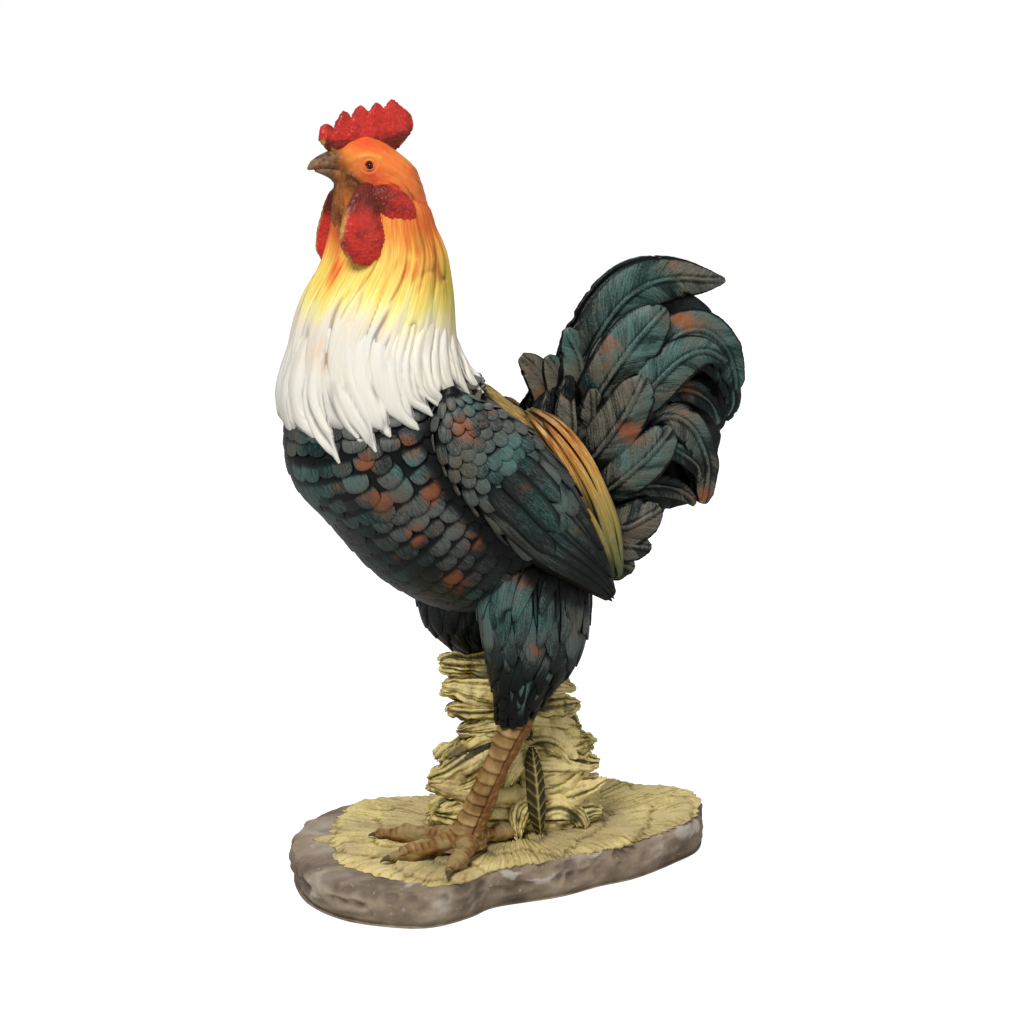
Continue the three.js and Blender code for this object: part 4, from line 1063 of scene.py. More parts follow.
saddle_rows = [
    (7, -26, 346, 2.2, 2), (19, -39, 333, 8.2, 7.4), (32, -49, 313, 9.6, 8.8), (44, -53, 289, 9.0, 9),
    (55.5, -51, 261, 8.6, 8.4), (64, -47, 234, 5.4, 5.6), (67, -45, 224, 2.0, 2.5)]
saddle_steps = 170
saddle_turn = full_turn(120)[None, :]
saddle_host = Host(swept(saddle_rows, (0.25, -1, 0.45), saddle_steps, saddle_turn), last_row=6)
down = np.linspace(0, 1, saddle_steps)[:, None]
strand = saddle_turn + 0.25 * np.sin(down * 5)
ridges = around_noise(strand, 2.6, 61, down * 1.6)
fine_ridges = around_noise(strand, 8.0, 62, down * 3)
cleft = np.exp(-(ridges / 0.13) ** 2)
saddle_skin = saddle_host.grid + saddle_host.normal * (
    (np.abs(ridges) - 0.3) * 3.4 + fine_ridges - cleft * 1.2)[..., None] * step(down, 0.0, 0.08)[..., None]
saddle_dark = step(np.cos(saddle_turn - 2.75), 0.55, 0.9) * step(down, 0.42, 0.6) * 0.9
saddle_skins = [(saddle_skin, {
    "low": np.clip(0.25 + cleft + step(-fine_ridges, 0.1, 0.7) * 0.4, 0, 1), "far": down,
    "across": strand * 12, "along": down * 140, "dark": saddle_dark})]
strand_places = [
    (0.1, 3.7, 0.02, 0.00, 2.8), (0.3, 4.4, 0.42, 0.47, 3.0), (0.2, 5.0, 0.22, 0.26, 3.4),
    (0.8, 5.3, 0.31, 0.36, 3.6), (0.5, 4.4, 0.10, 0.14, 3.2), (1.4, 5.95, 0.16, 0.20, 3.2),
    (2.0, 6.0, 0.04, 0.10, 3.0), (2.4, 5.3, 0.98, 1.03, 2.6), (2.6, 5.8, 0.32, 0.25, 2.8),
    (3.0, 5.5, 0.45, 0.36, 2.6)]
start, stop, from_turn, to_turn, half = np.array(strand_places).T[..., None]
strand_s = np.linspace(0, 1, 28)[None, :]
strand_half = half * spindle(strand_s, 0.95, 0.05, 0.6) + 0.15
strand_grid, wide, off = feathers(
    saddle_host, start + (stop - start) * strand_s,
    from_turn + (to_turn - from_turn) * strand_s + 0.012 * np.sin(strand_s * 6 + start * 9), strand_half,
    0.1 + (1.4 + 0.5 * start) * np.sin(strand_s * np.pi) ** 0.7, 1.7 * np.ones_like(strand_half),
    quill_section)
saddle_skins.append((strand_grid, {
    "low": np.clip(
        0.65 * step(np.abs(wide), 0.65, 0.95) + 0.4 * step(-strand_s, -0.15, 0.0)[..., None], 0, 1),
    "far": ((start + (stop - start) * strand_s) / 6)[..., None], "across": off * 1.5 + start[..., None] * 20,
    "along": strand_s[..., None] * 140,
    "dark": step(from_turn, 0.34, 0.4)[..., None] * 0.7 * step(strand_s, 0.5, 0.7)[..., None]}))
back_places = [
    (3.8, 6.95, 0.905, 0.940, 5.2), (4.3, 7.2, 0.922, 0.956, 5.2), (4.7, 7.4, 0.908, 0.935, 5.0),
    (5.2, 7.7, 0.938, 0.960, 4.6), (5.7, 8.0, 0.915, 0.942, 4.6)]
start, stop, from_turn, to_turn, half = np.array(back_places).T[..., None]
back_half = half * spindle(strand_s, 0.9, 0.08, 0.7) + 0.15
back_grid, wide, off = feathers(
    torso_host, start + (stop - start) * strand_s, from_turn + (to_turn - from_turn) * strand_s**0.8,
    back_half, 2.6 * np.sin(strand_s * np.pi) ** 0.5 * np.ones_like(start) - 0.4,
    1.5 * np.ones_like(back_half), quill_section)
saddle_skins.append((back_grid, {
    "low": 0.8 * step(np.abs(wide), 0.7, 1.0) + 0.6 * step(-strand_s, -0.3, 0.0)[..., None],
    "far": 0.16 * strand_s[..., None], "across": off * 1.5 + start[..., None] * 20,
    "along": strand_s[..., None] * 110, "dark": 0.45 * step(-strand_s, -0.5, 0.0)[..., None]}))
for side, mirror in both_sides.items():
    node = f"{side}_saddle_feathers"
    saddle_piece = model(node + "_strands", mirrored(saddle_skins, mirror), saddle_finish)
    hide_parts(node)

# Neck hackle.
# The cape of long pointed feathers round the neck, modelled in flowing locks that end in ragged
# points over the breast. It is airbrushed from orange through yellow to cream, with a grey wash in
# the grooves that is partly painted shade, and black painted shade under the locks.

hackle_finish = Finish("painted_hackle")
hackle_low, hackle_warm = hackle_finish.mark("low"), hackle_finish.mark("warm")
hackle_hairs = hackle_finish.hairs(hackle_finish.mark("across") * 0.8, hackle_finish.mark("along") * 0.035)
hackle_fine = hackle_finish.hairs(hackle_finish.mark("across") * 2.4, hackle_finish.mark("along") * 0.07)
# A darker copy of the neck's colours for the grooves: partly a wash, partly painted shade.
hackle_wash_and_shade = hackle_finish.ramp(
    hackle_warm, (0.1, (0.22, 0.21, 0.20)), (0.4, (0.50, 0.27, 0.06)), (0.7, (0.45, 0.09, 0.015)))
hackle_colour = hackle_finish.layers(
    hackle_finish.ramp(
        hackle_warm + hackle_finish.fade(hackle_hairs, 0.25, 0.75, -0.11, 0.11), (0.05, (0.80, 0.77, 0.68)),
        (0.2, (0.88, 0.77, 0.58)), (0.34, (0.93, 0.85, 0.34)), (0.5, (0.93, 0.72, 0.15)),
        (0.68, (0.90, 0.43, 0.07)), (0.84, (0.86, 0.22, 0.04)), (1.0, (0.72, 0.10, 0.02))),
    ((0.56, 0.42, 0.05), hackle_finish.mark("olive")),
    ((0.86, 0.55, 0.33),
     hackle_finish.fade(hackle_hairs + hackle_finish.mark("pink") * 0.3, 0.62, 0.85, 0.0, 0.55)),
    (hackle_wash_and_shade, hackle_finish.fade(hackle_low + hackle_fine * 0.35, 0.35, 1.0, 0.0, 0.85)),
    # Black: painted shade under the locks and on their undersides, and dark brown by the throat.
    ((0.02, 0.02, 0.02), hackle_finish.mark("shade")))
hackle_finish.coat(
    hackle_colour, hackle_finish.fade(hackle_fine, 0.3, 0.7, 0.4, 0.6), hackle_hairs + hackle_fine * 0.5,
    0.0007)

neck_rows = [
    (-92, 0, 498, 32, 31.2, 0), (-90, 0, 476, 37, 36.3, 0), (-89, 0, 456, 43, 42.1, 0),
    (-94.5, 0, 430, 52.5, 50.7, 2), (-98.5, 0, 398, 58.5, 58.5, 6), (-98, 0, 372, 63, 64.8, 12),
    (-98, 0, 352, 67, 68.4, 15)]
neck_steps, neck_around, neck_girth, last_neck_row = 140, 260, 400.0, 6
neck_host = Host(ringed(neck_rows, neck_steps, neck_around), last_neck_row)
neck_row = np.linspace(0, last_neck_row, neck_steps)[:, None]
neck_turn = np.arange(neck_around)[None, :] / neck_around
from_front = np.abs(neck_turn - 0.5)
side_sign = np.sign(neck_turn - 0.5)
lean_rows = [(0.055,), (0.05,), (0.036,), (0.012,), (-0.016,), (-0.014,), (0.004,)]
lean = along_rows(lean_rows, neck_row)[..., 0] * np.sin(np.clip(from_front, 0, 0.5) * 2 * np.pi) ** 0.5
flow = (from_front - lean) * neck_girth


def strands(size, length, seed):
    """Noise drawn out along the locks, in mm across and rows along, different on the two sides."""
    return grain(together(flow / size, neck_row / length, side_sign * 3.0), seed)


neck_grooves = [
    (1.4, 2.0, [(2.9, 0.228), (3.26, 0.217), (3.62, 0.200), (4.09, 0.197), (5.0, 0.194), (6.0, 0.192)]),
    (3.4, 4.2, [(3.25, 0.287), (3.79, 0.264), (4.34, 0.256), (4.97, 0.259), (5.6, 0.262)]),
    (1.3, 1.8, [(3.3, 0.243), (3.7, 0.226), (4.02, 0.214), (4.64, 0.214), (5.4, 0.228), (6.0, 0.244)]),
    (1.5, 2.2, [(2.5, 0.125), (3.31, 0.106), (4.19, 0.108), (5.1, 0.125), (5.67, 0.15), (6.0, 0.18)]),
    (1.2, 1.8, [(3.9, 0.30), (4.49, 0.283), (5.22, 0.283), (6.0, 0.292)]),
    (1.4, 2.0, [(3.7, 0.33), (4.44, 0.306), (5.2, 0.30), (6.0, 0.306)]),
    (1.6, 2.4, [(3.6, 0.375), (4.3, 0.352), (5.2, 0.342), (6.0, 0.35)]),
    (1.1, 1.6, [(1.3, 0.20), (2.0, 0.175), (2.9, 0.14), (3.5, 0.12)]),
    (1.0, 1.6, [(0.8, 0.27), (1.6, 0.262), (2.5, 0.245), (3.2, 0.215)]),
    (1.2, 1.8, [(0.4, 0.33), (1.4, 0.325), (2.3, 0.305), (3.0, 0.285)]),
    (1.0, 1.5, [(0.3, 0.39), (1.2, 0.385), (2.2, 0.36), (3.2, 0.33)]),
    (0.9, 1.4, [(4.2, 0.155), (5.0, 0.150), (5.8, 0.165)]),
    (1.0, 1.5, [(4.4, 0.050), (5.2, 0.048), (6.0, 0.07)]),
    (1.0, 1.6, [(2.2, 0.05), (3.2, 0.03), (4.2, 0.025)])]
carved = np.zeros((neck_steps, neck_around))
for deep, broad, line in neck_grooves:
    rows, turns = np.array(line).T
    centre = along_rows(turns[:, None], np.interp(neck_row[:, 0], rows, np.arange(len(rows))))[:, 0][:, None]
    fades = step(neck_row, rows[0], rows[0] + 0.5) * step(-neck_row, -rows[-1], 0.35 - rows[-1])
    carved = np.maximum(carved, deep * fades * np.exp(-((from_front - centre) * neck_girth / broad) ** 2))
broad_locks = strands(17.0, 1.7, 71)
locks = strands(8.0, 1.3, 72)
clefts = np.exp(-(broad_locks / 0.085) ** 2) * step(neck_row, 0.6, 2.2)
clefts = clefts * step(strands(30.0, 1.0, 76), -0.5, 0.4)
fine_locks = strands(3.6, 0.9, 73)
swell = np.abs(broad_locks)
rise = (swell - 0.3) * 2.0 * step(neck_row, 0, 2) + locks * 0.8 + fine_locks * 0.33 - clefts * 1.2 - carved
neck_low = np.clip(
    clefts * 0.7 + carved * 0.5 + step(-locks, 0.2, 0.9) * 0.3, 0, 1) * step(neck_row, -0.4, 1.6)
under = step(neck_row, 5.2, 5.9)
let_in = 2.4 * step(-neck_row, -0.55, 0.0)
neck_skin = neck_host.grid + neck_host.normal * (
    rise * step(neck_row, 0.1, 0.6) - 3.6 * under - let_in)[..., None]

hackle_warmth = [
    (-135, -20, 452, 20, 1.0), (-87, -38, 450, 18, 0.95), (-80, -36, 470, 20, 0.95),
    (-120, -25, 480, 26, 1.0), (-95, -30, 490, 28, 1.0), (-60, -18, 480, 30, 0.95), (-66, -30, 462, 14, 0.85),
    (-110, -42, 430, 16, 0.55), (-126, -35, 437, 12, 0.75)]
hackle_olive = [(-55, -22, 440, 22, 0.8), (-58, -30, 425, 14, 0.5), (-74, -36, 470, 9, 0.5)]
hackle_brown = [(-121, -18, 490, 11, 0.7), (-124, -13, 477, 9, 0.55)]
hackle_pink = [(-152, -25, 400, 20, 0.8), (-146, -38, 392, 10, 0.9), (-128, -48, 415, 9, 0.6)]


def hackle_marks(points, low, across, along, shade):
    """The marks of the neck's paint: how warm it is goes from 0, cream, to 1 by height and daubs."""
    height = points[..., 2] + 7 * grain(together(across / 9, along / 60, 0), 78)
    ahead = -points[..., 0] - 95
    warm = 0.60 * step(height, 392 + 0.16 * ahead, 450) + 0.24 * step(height, 448, 480)
    streak = grain(together(across / 3.5, along / 45, 0), 79)
    warm = np.maximum(
        warm, daubs(points, hackle_warmth) * (0.78 + 0.4 * streak)) + 0.1 * rough(points, 34.0, 77)
    shade = np.maximum(shade, daubs(points, hackle_brown))
    return {
        "low": low, "warm": np.clip(warm, 0, 1), "across": across, "along": along, "shade": shade,
        "olive": daubs(points, hackle_olive), "pink": daubs(points, hackle_pink)}


hackle_skins = [(neck_skin, hackle_marks(neck_skin, neck_low, flow, neck_row * 25, 0.95 * under))]
root_in, root_up, lock_in, tip_in = 15.0, 24, 4.4, 1.6
lock_paths = [
    [(-152, -9, 412, 13, 3), (-160, -12, 375, 13, 4), (-160, -17, 352, 10, 3.5), (-156, -26, 341, 6.5, 3),
     (-150.5, -34, 334, 1.2, 1.2)],
    [(-146, -26, 408, 10, 3), (-153, -29, 370, 11, 4), (-151, -38, 347, 9, 3.5), (-146.5, -46, 334, 5, 2.5),
     (-141.5, -51, 323, 0.8, 1)],
    [(-133, -40, 415, 13, 3), (-136, -47, 380, 15, 4), (-133, -55, 358, 13, 4.5), (-127, -61, 345, 8, 4),
     (-120, -67, 332, 0.8, 1)],
    [(-118, -50, 412, 10, 3), (-123, -56, 380, 12, 4), (-119, -63, 360, 9, 4), (-114, -67, 349, 5, 3),
     (-110, -69, 342, 0.8, 1)],
    [(-104, -54, 415, 10, 3), (-108, -60, 388, 12, 4), (-104, -66, 366, 10, 4.5), (-97, -70, 354, 5.5, 3.5),
     (-90.5, -72, 346, 0.8, 1)],
    [(-88, -54, 418, 9, 3), (-95, -61, 392, 11, 4), (-93, -67, 372, 9, 4), (-86, -70, 362, 4.5, 3),
     (-80, -72, 355, 0.8, 1)],
    [(-72, -49, 415, 8, 3), (-80, -58, 394, 10, 4), (-80, -65, 376, 8.5, 4), (-74, -68, 364, 4, 3),
     (-69, -69, 356, 0.8, 1)],
    [(-60, -42, 412, 8, 3), (-66, -52, 393, 9, 4), (-67, -60, 378, 7.5, 3.5), (-62, -62, 367, 4, 3),
     (-57, -63, 360, 0.8, 1)],
    [(-50, -32, 408, 8, 3), (-53, -42, 390, 9, 3.5), (-53, -50, 378, 7, 3.5), (-49, -53, 369, 3.5, 2.5),
     (-44, -53, 362, 0.8, 1)],
    [(-44, -18, 404, 8, 3), (-43, -29, 388, 8, 3.5), (-41, -37, 377, 6.5, 3), (-36, -40, 369, 3.5, 2.5),
     (-30, -41, 363, 0.8, 1)],
    [(-42, -6, 400, 8, 3), (-38, -13, 386, 8, 3.5), (-33, -19, 376, 6, 3), (-27, -22, 370, 3.5, 2.5),
     (-21, -23, 365, 0.8, 1)],
    [(-157, 0, 400, 12, 3), (-163, 0, 366, 11, 3.5), (-162, -3, 348, 8, 3), (-159, -6, 338, 4.5, 2.5),
     (-156, -8, 331, 0.8, 1)]]
lock_steps = 60
turn = np.concatenate(
    [np.linspace(-0.3, np.pi + 0.3, 32), np.linspace(np.pi + 0.8, 2 * np.pi - 0.8, 6)])[None, :]
along = np.linspace(0, 1, lock_steps)[:, None]
for number, path in enumerate(lock_paths):
    path = np.array(path, float)
    outside = unit(path[1, :3] - (-98, 0, path[1, 2]))
    root = np.append(path[0, :3] - outside * root_in + (0, 0, root_up), (path[0, 3] * 0.45, 1.5))
    path[0, :3] -= outside * lock_in
    path[1:, :3] -= outside * tip_in
    path = np.vstack([root, path])
    lock = swept(path, outside, lock_steps, turn)
    half = along_rows(path, np.linspace(0, len(path) - 1, lock_steps))[:, 3:4]
    across = np.cos(turn) * half + 4.5 * np.sin(along * 3.6 + number) * step(half, 0, 8)
    cuts = grain(together(across / 5.2, along * 1.6, number * 5.3), 81)
    thin = grain(together(across / 1.5, along * 4, number * 3.1), 82)
    furrow = np.exp(-(cuts / 0.13) ** 2)
    top = np.sin(turn) > -0.2
    lock = lock + outward(lock) * (
        (np.abs(cuts) - 0.3) * 3.0 + thin * 0.4
        - furrow * 0.9)[..., None] * (step(half, 0.8, 4.0) * top)[..., None]
    edges = step(np.abs(np.cos(turn)), 0.93, 1.0) * 0.45
    low = np.clip(furrow * 0.5 * top + edges + step(-thin, 0.1, 0.9) * 0.25, 0, 1) * step(along, 0.2, 0.5)
    lock_marks = hackle_marks(lock, low, across * 1.5 + number * 20, along * 70, 0.6 * (np.sin(turn) < -0.3))
    hackle_skins += [(lock, lock_marks), (lock * (1, -1, 1), lock_marks)]
hackle_piece = model("neck_hackle_locks", hackle_skins, hackle_finish)
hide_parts("neck_hackle")

# Head and beak.
# The bare face and the short curved beak are modelled on top of the neck: a brow, a ring round each
# eye, a gape line and fine ear feathers. The face is orange, and the beak and throat are dark.

head_finish = Finish("painted_face")
head_fine = head_finish.speckle(420.0, 4.0)
head_patch = head_finish.speckle(60.0, 3.0)
head_low = head_finish.mark("low")
head_dapple = head_finish.fade(head_patch + head_fine * 0.4, 0.55, 0.85)
head_colour = head_finish.layers(
    head_finish.ramp(
        head_finish.mark("warm") + head_finish.fade(head_patch, 0.3, 0.7, -0.12, 0.12),
        (0.0, (0.86, 0.42, 0.07)), (0.3, (0.86, 0.23, 0.045)), (0.75, (0.80, 0.12, 0.03)),
        (1.0, (0.62, 0.07, 0.02))),
    # Gold: a painted highlight on the brow and above the beak, and gold strokes behind the eye.
    ((0.82, 0.36, 0.05), head_finish.mark("gold")),
    ((0.26, 0.05, 0.012), head_finish.fade(head_low, 0.1, 0.9, 0.0, 0.85)),
    (head_finish.over((0.12, 0.036, 0.009), (0.29, 0.10, 0.022), head_dapple), head_finish.mark("brown")),
    (head_finish.over((0.060, 0.034, 0.018), (0.26, 0.14, 0.075), head_dapple), head_finish.mark("horn")),
    ((0.70, 0.42, 0.14), head_finish.fade(head_fine, 0.58, 0.72, 0.0, 0.25)))
head_finish.coat(head_colour, head_finish.fade(head_fine, 0.3, 0.7, 0.38, 0.58), head_fine, 0.0003)

head_rows = [
    (-91.5, 0, 492, 33, 30, 0), (-91.5, 0, 496, 32.5, 29.5, 0), (-93.5, 0, 510, 30, 27, 0),
    (-96.5, 0, 521, 27, 25, 0), (-101, 0, 530, 20.5, 20, 0), (-103, 0, 536, 12, 13, 0),
    (-103, 0, 539.5, 4, 4, 0)]
head_grid = ringed(head_rows, count=170, around=240)


def daub(points, centre, radius):
    """One daub at full strength."""
    return daubs(points, [(*centre, radius, 1.0)])


head_out = outward(head_grid)
eye_place = (-107, -22.5, 521.5)
eye_away = np.linalg.norm(to_left(head_grid) - eye_place, axis=-1)
lid = np.exp(-((eye_away - 3.1) / 0.7) ** 2)
socket = step(-eye_away, -2.7, -1.8)
ring = np.exp(-((eye_away - 6.0) / 1.2) ** 2)
brow = near_line(
    head_grid, [(-122, -14, 523), (-116, -18, 526.5), (-108, -20.5, 528), (-99, -22.5, 526)], 2.6)
gape = near_line(head_grid, [(-126, -9, 517), (-121, -15, 514), (-116, -19.5, 510), (-112, -22.5, 505)], 1.3)
gape_lip = near_line(head_grid, [(-126, -9, 520), (-121, -15, 517), (-115, -20, 513)], 2.2)
ear = np.zeros(head_grid.shape[:2])
for shift in np.linspace(-9, 13, 8):
    ear_line = [
        (-97 + 0.3 * shift, -26, 517 + shift), (-88, -27, 512 + shift * 0.9), (-80, -26, 504 + shift * 0.8),
        (-74, -25, 496 + shift * 0.7)]
    ear = np.maximum(ear, near_line(head_grid, ear_line, 1.0) * (0.7 + 0.3 * np.sin(shift * 3)))
plumes = grain(together(
    (head_grid[..., 2] + head_grid[..., 0] * 0.75) / 2.6, (head_grid[..., 0] - head_grid[..., 2]) / 26,
    head_grid[..., 1] / 14), 91)
behind = step(head_grid[..., 0], -100, -88)
wrinkle = grain(head_grid / 4.2, 92)
head_rise = (
    lid * 1.4 - socket * 1.6 + ring * 0.5 + brow * 1.5 - gape * 1.6 + gape_lip * 0.9 - ear * 0.9 * behind
    + plumes * behind * 0.8 + wrinkle * 0.22 * (1 - behind) + rough(head_grid, 16.0, 93) * 0.6)
head_skin = head_grid + head_out * head_rise[..., None]
height = head_grid[..., 2]
head_brown = daub(head_grid, (-124, -12, 508), 12) * 1.2 + daub(head_grid, (-119, -8, 496), 15) * 1.2
head_brown = head_brown + daub(head_grid, (-128, -6, 520), 9) * 1.2 + daub(head_grid, (-115, -14, 501), 11)
head_marks = {
    "low": np.clip(
        gape * 0.9 + ear * 0.8 * behind + step(-plumes, 0.3, 0.9) * 0.4 * behind
        + np.exp(-((eye_away - 2.2) / 0.6) ** 2) * 0.7 + np.exp(-((eye_away - 4.6) / 0.7) ** 2) * 0.3,
        0, 1),
    "warm": np.clip(
        0.34 + 0.45 * daub(head_grid, (-108, -14, 534), 15) + 0.6 * daub(head_grid, (-106, -24, 511), 10)
        + 0.35 * behind * np.abs(plumes) - 0.2 * daub(head_grid, (-112, -20, 520), 9), 0, 1),
    # On the brow and above the beak this is a painted highlight; behind the eye, gold strokes.
    "gold": np.clip(
        brow * 0.7 + daub(head_grid, (-120, -12, 531), 6) * 0.6
        + behind * step(plumes, 0.15, 0.7) * 0.55 * step(-height, -520, -500), 0, 1),
    "brown": np.clip(head_brown, 0, 1) * (0.6 + 0.4 * step(height, 497, 508)),
    "horn": np.clip(daub(head_grid, (-132, 0, 521), 9) * 0.9, 0, 1)}
beak_turn = full_turn(60)[None, :]


def beak_skin(rows, count=70):
    """One half of the beak, with a fine grain along it, and its paint."""
    grid = swept(rows, (0, 1, 0), count, beak_turn)
    grid = grid + outward(grid) * (rough(grid, 7.0, 94) * 0.25)[..., None]
    place = grid[..., 0]
    nostril = daub(grid, (-133, -5.5, 524.5), 1.5)
    grid = grid - outward(grid) * (nostril * 1.2)[..., None]
    return grid, {
        "low": nostril, "warm": 0.34, "gold": 0.0, "brown": step(-place, 114, 126) * 0.95,
        "horn": np.clip(step(-place, 122, 132) * 0.95, 0, 1)}


upper_beak = [
    (-106, 0, 522, 14, 14), (-117, 0, 523, 11, 11), (-127, 0, 523.4, 7.4, 8.2), (-135, 0, 522.4, 4.8, 5.4),
    (-140.5, 0, 520.4, 2.8, 3.0), (-143.5, 0, 518.4, 0.7, 0.8)]
lower_beak = [
    (-104, 0, 509, 16, 14), (-116, 0, 512.5, 10.5, 11), (-125, 0, 515.8, 5.6, 7.0),
    (-132, 0, 517.2, 3.4, 4.4), (-138.0, 0, 518.0, 1.4, 1.8)]
throat = [
    (-102, 0, 520, 13, 13), (-111, 0, 508, 12, 13), (-114, 0, 496, 11, 15), (-115, 0, 480, 11, 17),
    (-114, 0, 466, 9, 17)]
throat_steps = 70
throat_grid = swept(throat, (0, 1, 0), throat_steps, beak_turn)
throat_plumes = around_noise(beak_turn, 7.0, 95, np.linspace(0, 2, throat_steps)[:, None])
throat_grid = throat_grid + outward(throat_grid) * (throat_plumes * 0.9)[..., None]
throat_marks = {
    "low": step(-throat_plumes, 0.1, 0.8) * 0.9, "warm": 0.34,
    "gold": step(-throat_grid[..., 2], -482, -468) * 0.5, "brown": step(throat_grid[..., 2], 466, 484),
    "horn": step(throat_grid[..., 2], 500, 516) * 0.4}
head_piece = model(
    "head_and_beak",
    [(head_skin, head_marks), beak_skin(upper_beak), beak_skin(lower_beak), (throat_grid, throat_marks)],
    head_finish)
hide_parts("head")

# Comb.
# A single upright comb with five points, let into the crown. Its skin is pebbled all over, and it is
# painted bright red with darker patches and an ochre line at its foot.

red_finish = Finish("painted_red")
red_patch = red_finish.speckle(90.0, 4.0)
red_grain = red_finish.speckle(900.0, 3.0)
red_low = red_finish.mark("low")
# Painted shade between the pebbles, and painted highlight flecks on their tops.
red_colour = red_finish.layers(
    # Darker red low on the comb and atop the wattles: partly darker paint, partly painted shade.
    red_finish.over(
        (0.56, 0.032, 0.022), (0.12, 0.018, 0.013),
        red_finish.fade(red_patch + red_finish.mark("dark") * 0.55, 0.43, 0.80, 0.0, 0.95)),
    ((0.15, 0.010, 0.008), red_finish.fade(red_low, 0.15, 0.85, 0.0, 0.75)),
    ((0.80, 0.22, 0.14), red_finish.fade(red_grain - red_low * 0.4, 0.56, 0.72, 0.0, 0.3)),
    ((0.46, 0.30, 0.07), red_finish.mark("ochre")))
red_finish.coat(red_colour, red_finish.fade(red_grain, 0.3, 0.7, 0.28, 0.5), red_grain, 0.0003)


def pebbled(grid, size, seed):
    """Rounded pebbles raised out of a skin, and how deep each place lies between them."""
    cells = grain(grid / size, seed)
    fine = grain(grid / size * 1.9, seed + 1)
    bumps = np.abs(cells) * 0.9 + np.abs(fine) * 0.55
    return grid + outward(grid) * (bumps * 0.9 - 0.35)[..., None], np.clip(0.62 - 1.7 * bumps, 0, 1)


comb_top = [
    (-135.5, 539.5), (-134, 545.5), (-131, 548.6), (-127.5, 548.2), (-124.6, 546.2), (-122.8, 547.5),
    (-121, 552.5), (-118.5, 556.6), (-115.5, 556.4), (-112.4, 553.2), (-110.6, 553.4), (-108.5, 557.6),
    (-106, 560.4), (-103, 559.8), (-100, 556.8), (-98.2, 557.2), (-96, 560.6), (-93.6, 562.4), (-90.8, 560.6),
    (-88.4, 558.2), (-86.4, 560.2), (-83.6, 563.6), (-81, 564.0), (-78, 561.4), (-75, 558.8), (-71.5, 556.6),
    (-68.6, 552.4), (-67, 546.4), (-69.5, 541.5), (-73.5, 538.0)]
comb_low = [
    (-135.5, 538.5), (-132, 534), (-128.5, 530), (-122, 527.5), (-114, 527), (-104, 528), (-92, 528),
    (-82, 529), (-76.5, 533), (-73.5, 537.5)]
comb_rows, comb_around = 180, 110
comb_line = np.linspace(0, 1, comb_rows)
upper_line = along_rows(comb_top, comb_line * (len(comb_top) - 1))
lower_line = along_rows(comb_low, comb_line * (len(comb_low) - 1))
comb_turn = full_turn(comb_around)
climb = (0.5 - 0.5 * np.cos(comb_turn))[None, :, None]
comb_plane = lower_line[:, None] * (1 - climb) + upper_line[:, None] * climb
inside = np.minimum(comb_line, 1 - comb_line)[:, None]
comb_half = (5.6 - 2.4 * climb[..., 0]) * np.sqrt(step(inside, -0.01, 0.09) + 0.02)
fold = 0.8 * np.sin((comb_plane[..., 0] + 0.5 * comb_plane[..., 1]) / 4.4) * climb[..., 0]
comb_y = np.sin(comb_turn)[None, :] / np.sqrt(np.abs(np.sin(comb_turn))[None, :] + 0.12) * comb_half + fold
comb_grid = np.stack([comb_plane[..., 0], comb_y, comb_plane[..., 1]], -1)
comb_skin, comb_deep = pebbled(comb_grid, size=2.3, seed=101)
comb_foot = step(lower_line[:, 1:2] - comb_grid[..., 2], -3.4, -2.2)
# The comb is darker low down, partly with painted shade.
comb_piece = model("comb_pebbled", [(comb_skin, {
    "low": comb_deep, "dark": step(-comb_grid[..., 2] + 0.12 * comb_grid[..., 0], -556, -544) * 0.6,
    "ochre": 0.85 * comb_foot * step(rough(comb_grid, 5.0, 104), -0.3, 0.2)})], red_finish)
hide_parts("comb")

# Wattles and earlobes.
# Two wattles hang beside the throat and an earlobe lies behind each. They are pebbled like the comb,
# dark at the top, partly as painted shade under the beak, and bright below, with an ochre line where
# they meet the feathers.

flap_steps = 100
flap_turn = full_turn(110)[None, :]
flaps = {
    "left_wattle": ((0.3, -1, 0), [
        (-108, -22, 508, 5, 4), (-111, -27, 498, 12, 5.5), (-113.5, -31, 484, 18, 6.6),
        (-114, -33, 471, 20.5, 7), (-114, -34, 461, 15, 6), (-114, -33.5, 455.5, 5, 3)]),
    "right_wattle": ((0.3, 1, 0), [
        (-107, 22, 507, 5, 4), (-110, 27, 492, 12, 5.5), (-111, 30, 473, 15.5, 6.6),
        (-115, 31, 457, 13.5, 6.4), (-118, 31, 448, 6, 4)]),
    "left_earlobe": ((0, -1, 0), [
        (-107, -25, 504, 4, 3), (-100, -27.5, 500, 10, 5), (-91, -29, 493.5, 12.5, 6), (-83, -29, 487, 9, 5),
        (-77, -28, 481.5, 2, 2)]),
    "right_earlobe": ((0, 1, 0), [
        (-107, 25, 504, 4, 3), (-100, 27.5, 500, 10, 5), (-91, 29, 493.5, 12.5, 6), (-83, 29, 487, 9, 5),
        (-77, 28, 481.5, 2, 2)])}
